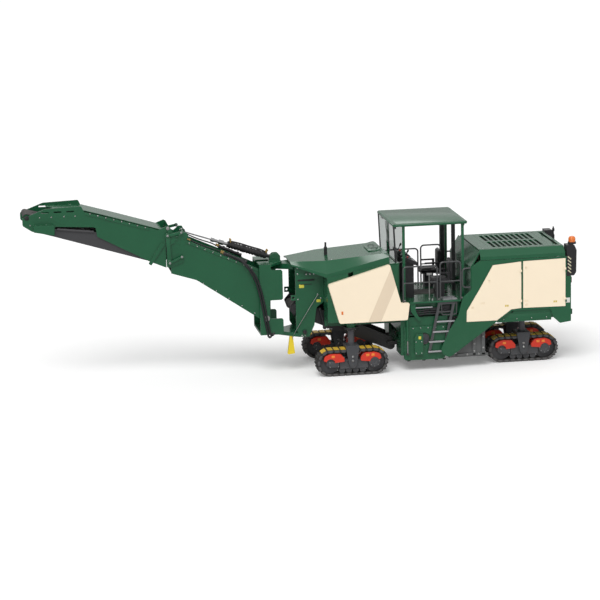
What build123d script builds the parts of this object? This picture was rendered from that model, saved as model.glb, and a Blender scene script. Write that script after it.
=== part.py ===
"""Cold planer (road milling machine): a body on four lifting, steering crawler tracks, a
milling drum under the operator's platform, a loading conveyor under the front tanks and a
folding discharge conveyor that slews and luffs in front.

Millimetres. +X points forward along the conveyor, +Y to the machine's left, +Z up.
The model is laid out about the middle of the wheelbase and moved at the end, so that
the origin is on the ground under the middle of the whole length.
"""

import os
from math import atan2, degrees, hypot, pi

from build123d import *

os.makedirs("parts", exist_ok=True)

# ---- driving dimensions -------------------------------------------------------------
WHEELBASE = 4650.0  # between the front and rear lifting columns
BODY_HALF = 1250.0  # half the width over the side panels
PANEL = 35.0  # thickness of a door or side panel
GAP = 8.0  # running gap round doors and lids
PIN_GAP = 1.0  # radial clearance of a pin in its bore
SEAT = 1.0  # how far a welded piece reaches into the one that carries it

# tracks
TRACK_LENGTH = 1850.0
TRACK_HEIGHT = 690.0
TRACK_WIDTH = 370.0
SHOE_THICK = 55.0
SHOES = 26
SHOE_GAP = 16.0
TRACK_FRONT_Y = 1040.0  # middle of a front track from the centre line
TRACK_REAR_Y = 620.0
FRAME_HALF = 95.0  # half the width of a track's side frame
FRAME_Z = (170.0, 430.0)
HUB_R = 110.0  # covers of the sprocket's and the idler's hubs
HUB_HALF = 150.0
GUARD_Y = 196.0  # outer face of a guard
YOKE_GAP = 15.0  # between the track's edge and the yoke
YOKE_PLATE = 30.0
YOKE_CROWN_Z = 730.0
YOKE_CROWN_T = 60.0
YOKE_HUB_T = 30.0
PIVOT_Z = 300.0  # pin that carries the side frame in its yoke

# lifting columns
LEG_R = 85.0
LEG_GAP = 5.0  # between a column and its sleeve
SLEEVE_WALL = 32.0
SLEEVE_FLANGE_R = 165.0
SLEEVE_BOTTOM = 1215.0
SLEEVE_TOP = 2350.0
LEG_TOP = 1850.0

# body heights and stations
FLOOR_Z = 1400.0  # underside of the floor plates
FLOOR_T = 25.0
STRAP_T = 35.0  # straps that join the front and rear floors over the drum housing
DECK_Z = 1850.0  # operator's floor
DECK_T = 40.0
REAR_X = -3500.0
HOOD_FRONT_X = -1080.0
HOOD_REAR_X = -3340.0
HOOD_TOP_Z = 3110.0
HOOD_EAVE_Z = 2850.0
HOOD_WALL = 40.0
HOOD_SLOTS = 10
HOOD_SLOT_PITCH = 140.0
HOOD_SLOT_HALF = 45.0
NOSE_X = 2940.0  # front face of the tank body
TANK_REAR_X = 1085.0
TUNNEL_HALF = 520.0  # half width of the tunnel over the loading conveyor
FENDER_DEPTH = 100.0  # of the cream panels on the tanks
TANK_HALF = BODY_HALF - FENDER_DEPTH
BEAM_Y = {"rear": 330.0, "front": 575.0}  # side members under the floors
KNUCKLE_R = 12.0  # barrels of the door hinges
KNUCKLE_H = 60.0
HOOD_PIN_R = 14.0
DOOR_HINGE_X = {"front": -2169.0, "rear": -3354.0}
HOOD_HINGE = (HOOD_FRONT_X + 5, HOOD_TOP_Z + 5)  # x, z
HOOD_KNUCKLES = (-700.0, 640.0)  # where the fixed barrels of the hood's hinge start in y

# drum
DRUM_X = 400.0
DRUM_Z = 830.0
DRUM_TIP_R = 500.0
DRUM_SHELL_R = 390.0
DRUM_END_GAP = 70.0  # between the drum's shell and the housing's side wall
DRUM_SHAFT_R = 140.0
SIDE_BAY = 140.0  # from the body's side to the drum housing
HOUSING_HALF = BODY_HALF - SIDE_BAY
HOUSING_WALL = 30.0
HOUSING_X = (-220.0, 1020.0)
HOUSING_BOTTOM = 420.0
DRUM_HALF = HOUSING_HALF - HOUSING_WALL - DRUM_END_GAP
TOOL_ROWS = 18  # rows of cutting tools on each of the drum's two helixes
TOOL_TURNS = 2  # turns of a helix from the drum's end to end
EDGE_GAP = 8.0  # between the housing and an edge plate
EDGE_T = 25.0
SKID_OUT = 18.0  # how far an edge plate's skid stands out from it

# canopy
CANOPY_X = (-770.0, 1170.0)
CANOPY_HALF = 1095.0
CANOPY_TOP_Z = 3890.0
CANOPY_T = 70.0
CANOPY_POCKET = 40.0  # depth of the recess in its underside
POST_X = (-660.0, 900.0)
POST_Y = 1010.0

# conveyors
BELT_HALF = 400.0
BELT_T = 16.0
PULLEY_R = 73.0
LOAD_PULLEY_R = 93.0
LOAD_TAIL = (1150.0, 545.0)  # x, z of the loading conveyor's pulleys
LOAD_HEAD = (3690.0, 1690.0)
LOAD_HALF = 478.0
LOAD_SIDE_T = 28.0
SLEW_X = 4120.0
SLEW_PIN_R = 60.0
TOWER_Z = (950.0, 2850.0)
TOWER_LUG_T = (100.0, 150.0)  # thickness of the lower and the upper slewing lug
SLEW_GAP = 6.0  # between the tower's lugs and the swivel's plates
LUFF = (4450.0, 1500.0)  # x, z of the conveyor's foot pins
LUFF_PIN_R = 45.0
FOLD = (6950.0, 3990.0)  # x, z of the pins that join the conveyor's halves
FOLD_PIN_R = 30.0
CONVEYOR_HALF = 500.0
SIDE_T = 30.0
CHEEK_Y = (568.0, 600.0)
CHEEK_REAR_X = 4015.0
INNER_BELT = ((4560.0, 1600.0), (6700.0, 3150.0))
OUTER_BELT = ((7300.0, 3540.0), (10530.0, 4430.0))
RAM_FOOT = (4180.0, 2990.0)
RAM_EYE = (6520.0, 3800.0)
RAM_BORE_R = 40.0
RAM_FOOT_PIN_R = 25.0

# lashing eyes
EYE_R = 30.0
EYE_T = 40.0
EYE_HALF = 60.0
EYES = ((REAR_X - EYE_HALF, 900.0, 1300.0), (3740.0, 535.0, 2000.0))  # x, inner y, z

FRONT_X = WHEELBASE / 2
REAR_AXLE_X = -WHEELBASE / 2
LEG_BORE_R = LEG_R + LEG_GAP
SLEEVE_R = LEG_BORE_R + SLEEVE_WALL
HINGE_Y = BODY_HALF + KNUCKLE_R
HOUSING_TOP = FLOOR_Z + FLOOR_T
EDGE_Y = (HOUSING_HALF + EDGE_GAP, HOUSING_HALF + EDGE_GAP + EDGE_T)
LADDER_Y = (EDGE_Y[1] + SKID_OUT + 7, BODY_HALF - PANEL - 7)

CORNERS = {
    "front_left": (FRONT_X, TRACK_FRONT_Y),
    "front_right": (FRONT_X, -TRACK_FRONT_Y),
    "rear_left": (REAR_AXLE_X, TRACK_REAR_Y),
    "rear_right": (REAR_AXLE_X, -TRACK_REAR_Y),
}

# ---- outlines: x, z and, where a corner is rounded, its radius -------------------------
SIDE_OUTLINE = [
    (REAR_X, 1120),
    (-3200, 1080, 60),
    (-3020, 1250, 60),
    (-2950, 1480, 60),
    (-1930, 1480, 120),
    (-1510, 1215, 120),
    (-235, 322, 165),
    (25, 480, 165),
    (-240, 1050, 300),
    (-480, 1420, 200),
    (-600, 1900, 120),
    (-840, 2100, 60),
    (-840, 2700, 60),
    (-1060, HOOD_EAVE_Z),
    (-3380, HOOD_EAVE_Z),
    (-3380, 2320),
    (REAR_X, 2320),
]
DOORS = {
    "front": [
        (-2165, 2773),
        (-2165, 1540),
        (-1890, 1515),
        (-1510, 1245),
        (-700, 1250),
        (-710, 1540),
        (-1060, 2110),
        (-1410, 2715),
    ],
    "rear": [(-2215, 2778), (-3350, 2800), (-3350, 1525), (-2215, 1540)],
}
FENDER = [
    (1030, 1850, 40),
    (800, 1840, 40),
    (860, 1390, 40),
    (2650, 1390, 60),
    (2940, 2430, 60),
    (1310, 2880, 40),
]
TOWER = [
    (NOSE_X + 2, 1850),
    (3140, 1720, 150),
    (3200, 1250, 80),
    (3340, TOWER_Z[0]),
    (3560, TOWER_Z[0], 80),
    (3680, 1150, 80),
    (3680, TOWER_Z[1]),
    (NOSE_X + 2, TOWER_Z[1]),
]
INNER_SIDE = [
    (4330, 1290, 60),
    (4560, 1440, 200),
    (6240, 2590, 300),
    (6890, 2800),
    (6890, 3850),
    (6510, 3660),
    (4530, 2760, 200),
    (4330, 2500, 60),
]
OUTER_SIDE = [
    (7010, 2960),
    (7430, 3140, 100),
    (8760, 3860, 60),
    (8790, 4105, 60),
    (9820, 4170, 30),
    (9840, 3960),
    (10400, 4070, 100),
    (10640, 4230, 60),
    (10640, 4420, 60),
    (10050, 4640, 200),
    (9140, 4670, 40),
    (9070, 4520),
    (8410, 4330, 600),
    (7400, 4020),
    (7010, 3890),
]
TRAY = [
    (7435, 3175),
    (9830, 3925),
    (10390, 4090),
    (10360, 4120),
    (9820, 4110),
    (8800, 3975),
]
CORNER_FRONT_X = -3385.0  # how far a corner box reaches forward round the corner
CORNER_Z = (2330.0, 3140.0)
CORNER_BOX = [
    (REAR_X, CORNER_Z[0]),
    (REAR_X - 80, CORNER_Z[0], 30),
    (REAR_X - 140, 2420, 60),
    (REAR_X - 150, 3000, 60),
    (REAR_X - 90, CORNER_Z[1], 30),
    (REAR_X, CORNER_Z[1]),
]

NODES = {}


# ---- small shape helpers ------------------------------------------------------------
def block(x0, x1, y0, y1, z0, z1):
    """A block between two corners, given in any order."""
    size = (abs(x1 - x0), abs(y1 - y0), abs(z1 - z0))
    return Pos((x0 + x1) / 2, (y0 + y1) / 2, (z0 + z1) / 2) * Box(*size)


def outline(points, y=0.0):
    """A face in X and Z at one y, with the corners that have a radius rounded."""
    face = make_face(Polyline(*[(point[0], y, point[1]) for point in points], close=True)).face()
    for point in points:
        if len(point) > 2:
            corner = face.vertices().sort_by_distance((point[0], y, point[1]))[0]
            face = face.fillet_2d(point[2], [corner])
    return face


def side_plate(points, y0, y1):
    """A flat outline in X and Z, as thick as from y0 to y1."""
    return extrude(outline(points, y0), amount=abs(y1 - y0), dir=(0, 1 if y1 > y0 else -1, 0))


def flat_plate(points, z0, z1):
    """A flat outline in X and Y, as thick as from z0 to z1."""
    face = make_face(Polyline(*[(x, y, z0) for x, y in points], close=True))
    return extrude(face, amount=z1 - z0, dir=(0, 0, 1))


def cross_plate(points, x0, x1):
    """A flat outline in Y and Z, as thick as from x0 to x1."""
    face = make_face(Polyline(*[(x0, y, z) for y, z in points], close=True))
    return extrude(face, amount=x1 - x0, dir=(1, 0, 0))


def opening(points, margin, y0, y1):
    """The space of an outline, grown by a margin or shrunk by a negative one."""
    face = make_face(Polyline(*[(point[0], point[1], 0) for point in points], close=True))
    moved = offset(face, amount=margin, kind=Kind.INTERSECTION)
    upright = Plane((0, y1, 0), x_dir=(1, 0, 0), z_dir=(0, -1, 0)) * moved
    return extrude(upright, amount=y1 - y0, dir=(0, -1, 0))


def round_y(x, z, radius, y0, y1):
    """A round bar along Y."""
    return Pos(x, (y0 + y1) / 2, z) * Rot(90, 0, 0) * Cylinder(radius, abs(y1 - y0))


def round_z(x, y, radius, z0, z1):
    """A round bar along Z."""
    return Pos(x, y, (z0 + z1) / 2) * Cylinder(radius, z1 - z0)


def rod(start, end, radius):
    """A round bar from one point to another."""
    start, end = Vector(*start), Vector(*end)
    run = end - start
    middle = Pos(0, 0, run.length / 2)
    return Plane(origin=start, z_dir=run) * middle * Cylinder(radius, run.length)


def bent_tube(points, radius, bend):
    """A tube of round bar bent to a radius at each corner."""
    path = FilletPolyline(*points, radius=bend)
    return sweep(Plane(origin=path @ 0, z_dir=path % 0) * Circle(radius), path=path)


def fused(shapes):
    """One solid from shapes that touch or overlap."""
    whole = shapes[0]
    for shape in shapes[1:]:
        whole = whole + shape
    return whole


def both_sides(shape):
    """The shape and its mirror image on the other side of the machine."""
    return [shape, mirror(shape, about=Plane.XZ)]


def put(name, *shapes):
    """Keep the solids of one node until all are written."""
    solids = [solid for shape in shapes for solid in shape.solids()]
    NODES[name] = Compound(children=[Solid(solid.wrapped) for solid in solids])


# ---- tracks -------------------------------------------------------------------------
def stadium(length, height, y0, y1):
    """A solid with two half-round ends, standing on the ground line of its own height."""
    shape = Plane.XZ * SlotOverall(length, height)
    return Pos(0, y1, TRACK_HEIGHT / 2) * extrude(shape, amount=y1 - y0)


def on_track_line(along):
    """Where a shoe gap cuts the loop, a distance along its outer face from the rear end
    of the ground run, forward, round the front, back and round the rear."""
    radius = TRACK_HEIGHT / 2
    run = TRACK_LENGTH - TRACK_HEIGHT
    turn_length = pi * radius
    if along < run:
        return Pos(along - run / 2, 0, 0)
    if along < run + turn_length:
        turn = degrees((along - run) / radius)
        return Pos(run / 2, 0, radius) * Rot(0, -turn, 0) * Pos(0, 0, -radius)
    if along < 2 * run + turn_length:
        return Pos(run / 2 - (along - run - turn_length), 0, TRACK_HEIGHT)
    turn = degrees((along - 2 * run - turn_length) / radius)
    return Pos(-run / 2, 0, radius) * Rot(0, 180 - turn, 0) * Pos(0, 0, -radius)


def track_belt():
    """The fixed loop with its shoes, about the track's own middle at x = y = 0."""
    half = TRACK_WIDTH / 2
    outer = stadium(TRACK_LENGTH, TRACK_HEIGHT, -half, half)
    inner = stadium(TRACK_LENGTH - 2 * SHOE_THICK, TRACK_HEIGHT - 2 * SHOE_THICK, -half, half)
    around = 2 * (TRACK_LENGTH - TRACK_HEIGHT) + pi * TRACK_HEIGHT
    pitch = around / SHOES
    gap = Box(SHOE_GAP, TRACK_WIDTH, 2 * SHOE_GAP)
    return outer - inner - [on_track_line((index + 0.5) * pitch) * gap for index in range(SHOES)]


def undercarriage():
    """Yoke, side frame, sprocket, idler and rollers, about x = y = 0."""
    plate_in = TRACK_WIDTH / 2 + YOKE_GAP
    plate_out = plate_in + YOKE_PLATE
    crown_half = 175
    crown_top = YOKE_CROWN_Z + YOKE_CROWN_T
    crown = block(-crown_half, crown_half, -plate_out, plate_out, YOKE_CROWN_Z, crown_top)
    hub = round_z(0, 0, LEG_R + 25, crown_top, crown_top + YOKE_HUB_T)
    cheek = [
        (-crown_half, YOKE_CROWN_Z + SEAT),
        (crown_half, YOKE_CROWN_Z + SEAT),
        (100, PIVOT_Z, 80),
        (60, PIVOT_Z - 90, 50),
        (-60, PIVOT_Z - 90, 50),
        (-100, PIVOT_Z, 80),
    ]
    cheeks = [side_plate(cheek, side * plate_in, side * plate_out) for side in (-1, 1)]
    pivot = round_y(0, PIVOT_Z, 55, -plate_out - 8, plate_out + 8)
    low, high = FRAME_Z
    frame_side = [
        (-430, low, 30),
        (430, low, 30),
        (470, 300, 60),
        (430, high, 30),
        (-430, high, 30),
        (-470, 300, 60),
    ]
    frame = side_plate(frame_side, -FRAME_HALF, FRAME_HALF)
    wheel_z = TRACK_HEIGHT / 2
    wheel_x = TRACK_LENGTH / 2 - wheel_z
    wheel_r = wheel_z - SHOE_THICK - 4
    wheels = [round_y(x, wheel_z, wheel_r, -70, 70) for x in (-wheel_x, wheel_x)]
    hubs = [round_y(x, wheel_z, HUB_R, -HUB_HALF, HUB_HALF) for x in (-wheel_x, wheel_x)]
    roller_r = 80
    roller_z = SHOE_THICK + 4 + roller_r
    rollers = [round_y(x, roller_z, roller_r, -130, 130) for x in (-270, -90, 90, 270)]
    return crown + hub + cheeks + pivot + frame + wheels + hubs + rollers


def track_guards():
    """Covers over the drive motors and track tensioners, arched over the hubs."""
    hub_x = TRACK_LENGTH / 2 - TRACK_HEIGHT / 2
    hub_z = TRACK_HEIGHT / 2
    cover = [
        (hub_x - 365, 380, 20),
        (hub_x - 365, 470, 30),
        (hub_x - 260, 590, 60),
        (hub_x, 600, 80),
        (hub_x + 150, 540, 60),
        (hub_x + 180, 420, 20),
        (hub_x, hub_z),
    ]
    covers = []
    for side in (-1, 1):
        shape = side_plate(cover, side * (FRAME_HALF + SEAT), side * GUARD_Y)
        shape = shape - round_y(hub_x, hub_z, HUB_R + GAP, -GUARD_Y - SEAT, GUARD_Y + SEAT)
        covers = covers + [shape, mirror(shape, about=Plane.YZ)]
    return covers


def build_corners():
    belt, carriage, guards = track_belt(), undercarriage(), track_guards()
    leg_bottom = YOKE_CROWN_Z + YOKE_CROWN_T + YOKE_HUB_T + 2
    for name, (x, y) in CORNERS.items():
        place = Pos(x, y, 0)
        put("track_belt_" + name, place * belt)
        put("undercarriage_" + name, place * carriage)
        put("track_guards_" + name, *[place * guard for guard in guards])
        put("lift_leg_" + name, round_z(x, y, LEG_R, leg_bottom, LEG_TOP))


# ---- main frame and drum housing ------------------------------------------------------
def main_frame():
    """Floors, side members and the four sleeves, joined by straps over the housing."""
    sill = BODY_HALF - PANEL - 5
    floor_top = FLOOR_Z + FLOOR_T
    housing_rear, housing_front = HOUSING_X
    rear_floor = block(REAR_X + 45, -700, -sill, sill, FLOOR_Z, floor_top)
    link_floor = block(-700, housing_rear - 10, -1100, 1100, FLOOR_Z, floor_top)
    front_floor = block(housing_front + 5, NOSE_X, -TANK_HALF, TANK_HALF, FLOOR_Z, floor_top)
    tunnel = block(housing_front, NOSE_X + 5, -TUNNEL_HALF, TUNNEL_HALF, FLOOR_Z - 5, FLOOR_Z + 50)
    straps = [
        block(-500, 1300, y - 100, y + 100, floor_top, floor_top + STRAP_T) for y in (-800, 800)
    ]
    rear_beams = [
        block(REAR_X + 45, -320, y - 60, y + 60, FLOOR_Z - 170, FLOOR_Z)
        for y in (-BEAM_Y["rear"], BEAM_Y["rear"])
    ]
    front_beams = [
        block(housing_front + 5, NOSE_X, y - 45, y + 45, FLOOR_Z - 200, FLOOR_Z)
        for y in (-BEAM_Y["front"], BEAM_Y["front"])
    ]
    cross = block(REAR_X + 300, REAR_X + 420, -1100, 1100, FLOOR_Z - 150, FLOOR_Z)
    frame = rear_floor + link_floor + (front_floor - tunnel)
    frame = frame + rear_beams + front_beams + cross + straps
    for x, y in CORNERS.values():
        frame = frame + round_z(x, y, SLEEVE_R, SLEEVE_BOTTOM, SLEEVE_TOP)
        frame = frame + round_z(x, y, SLEEVE_FLANGE_R, SLEEVE_BOTTOM, SLEEVE_BOTTOM + 30)
    for x, y in CORNERS.values():
        frame = frame - round_z(x, y, LEG_BORE_R, SLEEVE_BOTTOM - 10, SLEEVE_TOP - 20)
    return frame


def drum_housing():
    """The box over the drum, open below, with the loading conveyor's mouth in front."""
    rear, front = HOUSING_X
    outer = block(rear, front, -HOUSING_HALF, HOUSING_HALF, HOUSING_BOTTOM, HOUSING_TOP)
    inner_half = HOUSING_HALF - HOUSING_WALL
    chamber_r = DRUM_TIP_R + 50
    chamber = round_y(DRUM_X, DRUM_Z, chamber_r, -inner_half, inner_half)
    below = block(
        DRUM_X - chamber_r, DRUM_X + chamber_r, -inner_half, inner_half, HOUSING_BOTTOM - 100, DRUM_Z
    )
    mouth_half = TUNNEL_HALF - 20
    mouth = block(DRUM_X, front + 10, -mouth_half, mouth_half, HOUSING_BOTTOM - 20, 1000)
    shaft = round_y(DRUM_X, DRUM_Z, DRUM_SHAFT_R + 10, -HOUSING_HALF - 5, HOUSING_HALF + 5)
    return outer - chamber - below - mouth - shaft


def cutting_tool():
    """One tool holder with its pick, standing on the drum's shell at the top."""
    foot = DRUM_SHELL_R - 15
    profile = [(-55, foot), (45, foot), (50, foot + 45), (22, foot + 90, 12), (-18, foot + 84, 12)]
    holder = side_plate(profile, -30, 30)
    pick = Pos(34, 0, DRUM_SHELL_R + 68) * Rot(0, 45, 0) * Cone(24, 7, 72)
    return holder + pick


def milling_drum():
    """The shell with its cutting tools on two helixes that run from the ends to the
    middle, where they throw the millings forward."""
    shell = round_y(DRUM_X, DRUM_Z, DRUM_SHELL_R, -DRUM_HALF, DRUM_HALF)
    shaft_end = HOUSING_HALF - 4
    drum = shell + round_y(DRUM_X, DRUM_Z, DRUM_SHAFT_R, -shaft_end, shaft_end)
    tool = cutting_tool()
    span = 2 * (DRUM_HALF - 40)
    for index in range(TOOL_ROWS):
        share = (index + 0.5) / TOOL_ROWS
        y = (share - 0.5) * span
        helix_turn = abs(share - 0.5) * TOOL_TURNS * 360
        for start in (0, 180):
            drum = drum + Pos(DRUM_X, y, DRUM_Z) * Rot(0, start + helix_turn, 0) * tool
    return drum


def edge_plate():
    """Sliding side plate that closes the left end of the drum chamber, with its skid,
    guide rail and the box of its lifting cylinder."""
    bottom = 290
    inner_y, outer_y = EDGE_Y
    skirt = [
        (-150, bottom + 50, 30),
        (-105, bottom, 30),
        (905, bottom, 30),
        (950, bottom + 50, 30),
        (950, 1180),
        (-150, 1180),
    ]
    plate = side_plate(skirt, inner_y, outer_y)
    plate = plate - round_y(DRUM_X, DRUM_Z, DRUM_SHAFT_R + 35, inner_y - 5, outer_y + 5)
    skid = block(-105, 905, outer_y - SEAT, outer_y + SKID_OUT, bottom, bottom + 35)
    rail = block(800, 930, outer_y - SEAT, outer_y + 32, bottom + 20, 1070)
    ram_box = [(450, 440, 20), (680, 440, 20), (680, 900, 20), (620, 990, 20), (450, 990, 20)]
    return plate + skid + rail + side_plate(ram_box, outer_y - SEAT, outer_y + 72)


def scraper():
    """Moldboard behind the drum, with its runners, ribs and side wings."""
    front_x = -230
    blade_half = HOUSING_HALF - 40
    blade = block(front_x - 32, front_x, -blade_half, blade_half, 320, 1080)
    runner = [(-1320, 275, 30), (front_x - 32, 275), (front_x - 32, 345), (-1320, 345)]
    rail = [(-1240, 1050), (front_x - 32, 1050), (front_x - 32, 1100), (-1240, 1100)]
    wing = [(-1235, 300, 30), (-470, 300), (-470, 1095), (-760, 1095, 60), (-1235, 1010, 40)]
    parts = [blade]
    for side in (-1, 1):
        parts.append(side_plate(runner, side * (blade_half - 80), side * (blade_half - 20)))
        parts.append(side_plate(rail, side * (blade_half - 70), side * (blade_half - 30)))
        parts.append(side_plate(wing, side * (blade_half - 31), side * (blade_half - 16)))
        for x in (-420, -760, -1120):
            rib = [(x, 344), (x + 130, 344), (x + 110, 1090), (x + 20, 1090)]
            parts.append(side_plate(rib, side * (blade_half - 70), side * (blade_half - 30)))
    return fused(parts)


# ---- rear body ------------------------------------------------------------------------
def door_knuckle(x, leaf, z):
    """A hinge barrel on a door's axis, with a leaf that reaches as far as given in x."""
    barrel = round_z(x, HINGE_Y, KNUCKLE_R, z, z + KNUCKLE_H)
    return barrel + block(x, x + leaf, BODY_HALF - 2, HINGE_Y, z, z + KNUCKLE_H)


def side_panel():
    """The left skin, with its door openings and the fixed halves of the door hinges."""
    skin = side_plate(SIDE_OUTLINE, BODY_HALF - PANEL, BODY_HALF)
    for points in DOORS.values():
        skin = skin - opening(points, GAP, BODY_HALF - PANEL - 10, BODY_HALF + 10)
    for x in DOOR_HINGE_X.values():
        for z in (1700, 2500):
            skin = skin + door_knuckle(x, -30, z - KNUCKLE_H - 2)
    return skin


def door(name):
    """A left service door with its halves of the hinges and a recessed pull."""
    panel = side_plate(DOORS[name], BODY_HALF - PANEL, BODY_HALF)
    x = DOOR_HINGE_X[name]
    pull_x = x + (1010 if name == "rear" else 990)
    panel = panel - block(pull_x, pull_x + 90, BODY_HALF - 15, BODY_HALF + 5, 1700, 1740)
    for z in (1700, 2500):
        panel = panel + door_knuckle(x, 70, z)
    return panel


def engine_bay_walls():
    """The rear wall with its louvres, and the sloping wall behind the platform."""
    half = BODY_HALF - PANEL
    rear = block(REAR_X, REAR_X + 40, -half, half, 1150, HOOD_EAVE_Z)
    rear = rear - block(REAR_X - 5, REAR_X + 45, -750, 750, 1550, 2650)
    louvre = [(REAR_X + 4, 0), (REAR_X + 12, 0), (REAR_X + 36, 60), (REAR_X + 28, 60)]
    for z in range(1580, 2600, 85):
        rear = rear + side_plate([(x, z + rise) for x, rise in louvre], -760, 760)
    for y in (-260, 260):
        rear = rear + block(REAR_X + 10, REAR_X + 40, y - 20, y + 20, 1540, 2660)
    floor_top = FLOOR_Z + FLOOR_T
    slope = [(-860, floor_top), (-820, floor_top), (-820, 2690), (-1060, 3090), (-1060, 3040), (-860, 2670)]
    front = side_plate(slope, -half, half)
    hinge_x, hinge_z = HOOD_HINGE
    for y in HOOD_KNUCKLES:
        front = front + block(hinge_x + 2, hinge_x + 23, y, y + KNUCKLE_H, 3050, hinge_z)
        front = front + round_y(hinge_x, hinge_z, HOOD_PIN_R, y, y + KNUCKLE_H)
    return [rear, front]


def hood_section(inset):
    """The hood's cross-section in Y and Z, moved inwards by a wall, open below."""
    eave = HOOD_EAVE_Z + GAP
    half, shoulder, ridge = BODY_HALF - inset, 2950 - inset / 2, 1080 - inset / 2
    top = HOOD_TOP_Z - inset
    return [
        (-half, eave),
        (-half, shoulder),
        (-ridge, top),
        (ridge, top),
        (half, shoulder),
        (half, eave),
    ]


def engine_hood():
    """The lid over the engine bay, with two rows of air slots and its hinge barrels."""
    hood = cross_plate(hood_section(0), HOOD_REAR_X, HOOD_FRONT_X)
    inside_x = HOOD_REAR_X + HOOD_WALL
    hood = hood - cross_plate(hood_section(HOOD_WALL), inside_x, HOOD_FRONT_X + 5)
    low, high = HOOD_TOP_Z - HOOD_WALL - 20, HOOD_TOP_Z + 10
    for index in range(HOOD_SLOTS):
        x = -1560 - index * HOOD_SLOT_PITCH
        for side in (-1, 1):
            slot_x = (x - HOOD_SLOT_HALF, x + HOOD_SLOT_HALF)
            hood = hood - block(*slot_x, side * 60, side * 830, low, high)
    hood = hood - block(-3250, -3170, -900, 900, low, high)
    for y in HOOD_KNUCKLES:
        room = round_y(*HOOD_HINGE, HOOD_PIN_R + GAP, y - GAP, y + KNUCKLE_H + GAP)
        outboard = y + KNUCKLE_H + 2 if y > 0 else y - KNUCKLE_H - 2
        hood = hood - room + round_y(*HOOD_HINGE, HOOD_PIN_R, outboard, outboard + KNUCKLE_H)
    return hood


# ---- front body -----------------------------------------------------------------------
COVER_REAR_X = 1300.0
COVER_TOP_Z = 3100.0
COVER_WALL = 30.0
COVER_STATIONS = [
    # x, top below the rear end's, half width, half width of the flat top, and how far below
    # the top the slanting facet and the upright side end
    (COVER_REAR_X, 0.0, 1130.0, 800.0, 40.0, 210.0),
    (NOSE_X, 120.0, 1130.0, 800.0, 290.0, 390.0),
    (3790.0, 170.0, 600.0, 420.0, 37.0, 74.0),
]
TANK_TOP = [(NOSE_X, 2590), (COVER_REAR_X, 2890), (COVER_REAR_X, 2840), (TANK_REAR_X, 2840)]


def front_tanks():
    """Water and fuel tanks on both sides of the tunnel."""
    bottom = FLOOR_Z + FLOOR_T
    side_view = [(TANK_REAR_X, bottom), (NOSE_X, bottom)] + TANK_TOP
    tanks = []
    for side in (-1, 1):
        tank = side_plate(side_view, side * (TUNNEL_HALF + 10), side * TANK_HALF)
        tank = tank - round_z(FRONT_X, side * TRACK_FRONT_Y, SLEEVE_R + 6, FLOOR_Z, 3000)
        strap = block(1000, 1300, side * 700, side * 900, FLOOR_Z, bottom + STRAP_T)
        tanks.append(tank - strap)
    return tanks


def cover_section(station, inset, lengthen):
    """One cross-section of the front cover, moved inwards by a wall."""
    x, drop, half, flat_half, facet_depth, depth = station
    top = COVER_TOP_Z - drop - inset
    half, flat_half = half - inset, flat_half - inset / 2
    eave, bottom = top - facet_depth, top - depth - lengthen
    corners = [(-half, bottom), (-half, eave), (-flat_half, top)]
    corners = corners + [(-y, z) for y, z in reversed(corners)]
    return make_face(Polyline(*[(x, y, z) for y, z in corners], close=True))


def cover_form(inset, lengthen):
    """The cover's form as a solid, lofted from station to station."""
    sections = [cover_section(station, inset, lengthen) for station in COVER_STATIONS]
    return fused([loft(list(pair), ruled=True) for pair in zip(sections, sections[1:])])


def front_cover():
    """The sloping lid over the tanks and the tower, a thin shell open below."""
    return cover_form(0, 0) - cover_form(COVER_WALL, 20)


def fender():
    """Cream panel on the left tank, a tray open towards it."""
    wall = 30
    outer = side_plate(FENDER, TANK_HALF, BODY_HALF)
    core = opening(FENDER, -wall, TANK_HALF - 10, BODY_HALF - wall)
    leg_room = round_z(FRONT_X, TRACK_FRONT_Y, SLEEVE_R + 6, SLEEVE_BOTTOM, SLEEVE_TOP)
    return outer - core - leg_room


def front_tower():
    """Two plates on the nose, with the lugs that hold the slewing pins."""
    low, high = TOWER_Z
    lower_t, upper_t = TOWER_LUG_T
    plates = [side_plate(TOWER, side * 540, side * 575) for side in (-1, 1)]
    roof = block(NOSE_X + 2, 3680, -575, 575, high - 35, high)
    upper = flat_plate(
        [(3300, -300), (3700, -300), (SLEW_X, -130), (SLEW_X, 130), (3700, 300), (3300, 300)],
        high - upper_t,
        high,
    )
    lower = flat_plate(
        [(3350, -575), (3600, -575), (SLEW_X, -130), (SLEW_X, 130), (3600, 575), (3350, 575)],
        low,
        low + lower_t,
    )
    tower = fused(plates + [roof, upper, lower])
    tower = tower + round_z(SLEW_X, 0, 130, high - upper_t, high)
    tower = tower + round_z(SLEW_X, 0, 130, low, low + lower_t)
    return tower - round_z(SLEW_X, 0, SLEW_PIN_R + PIN_GAP, low - 50, high + 50)


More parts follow.
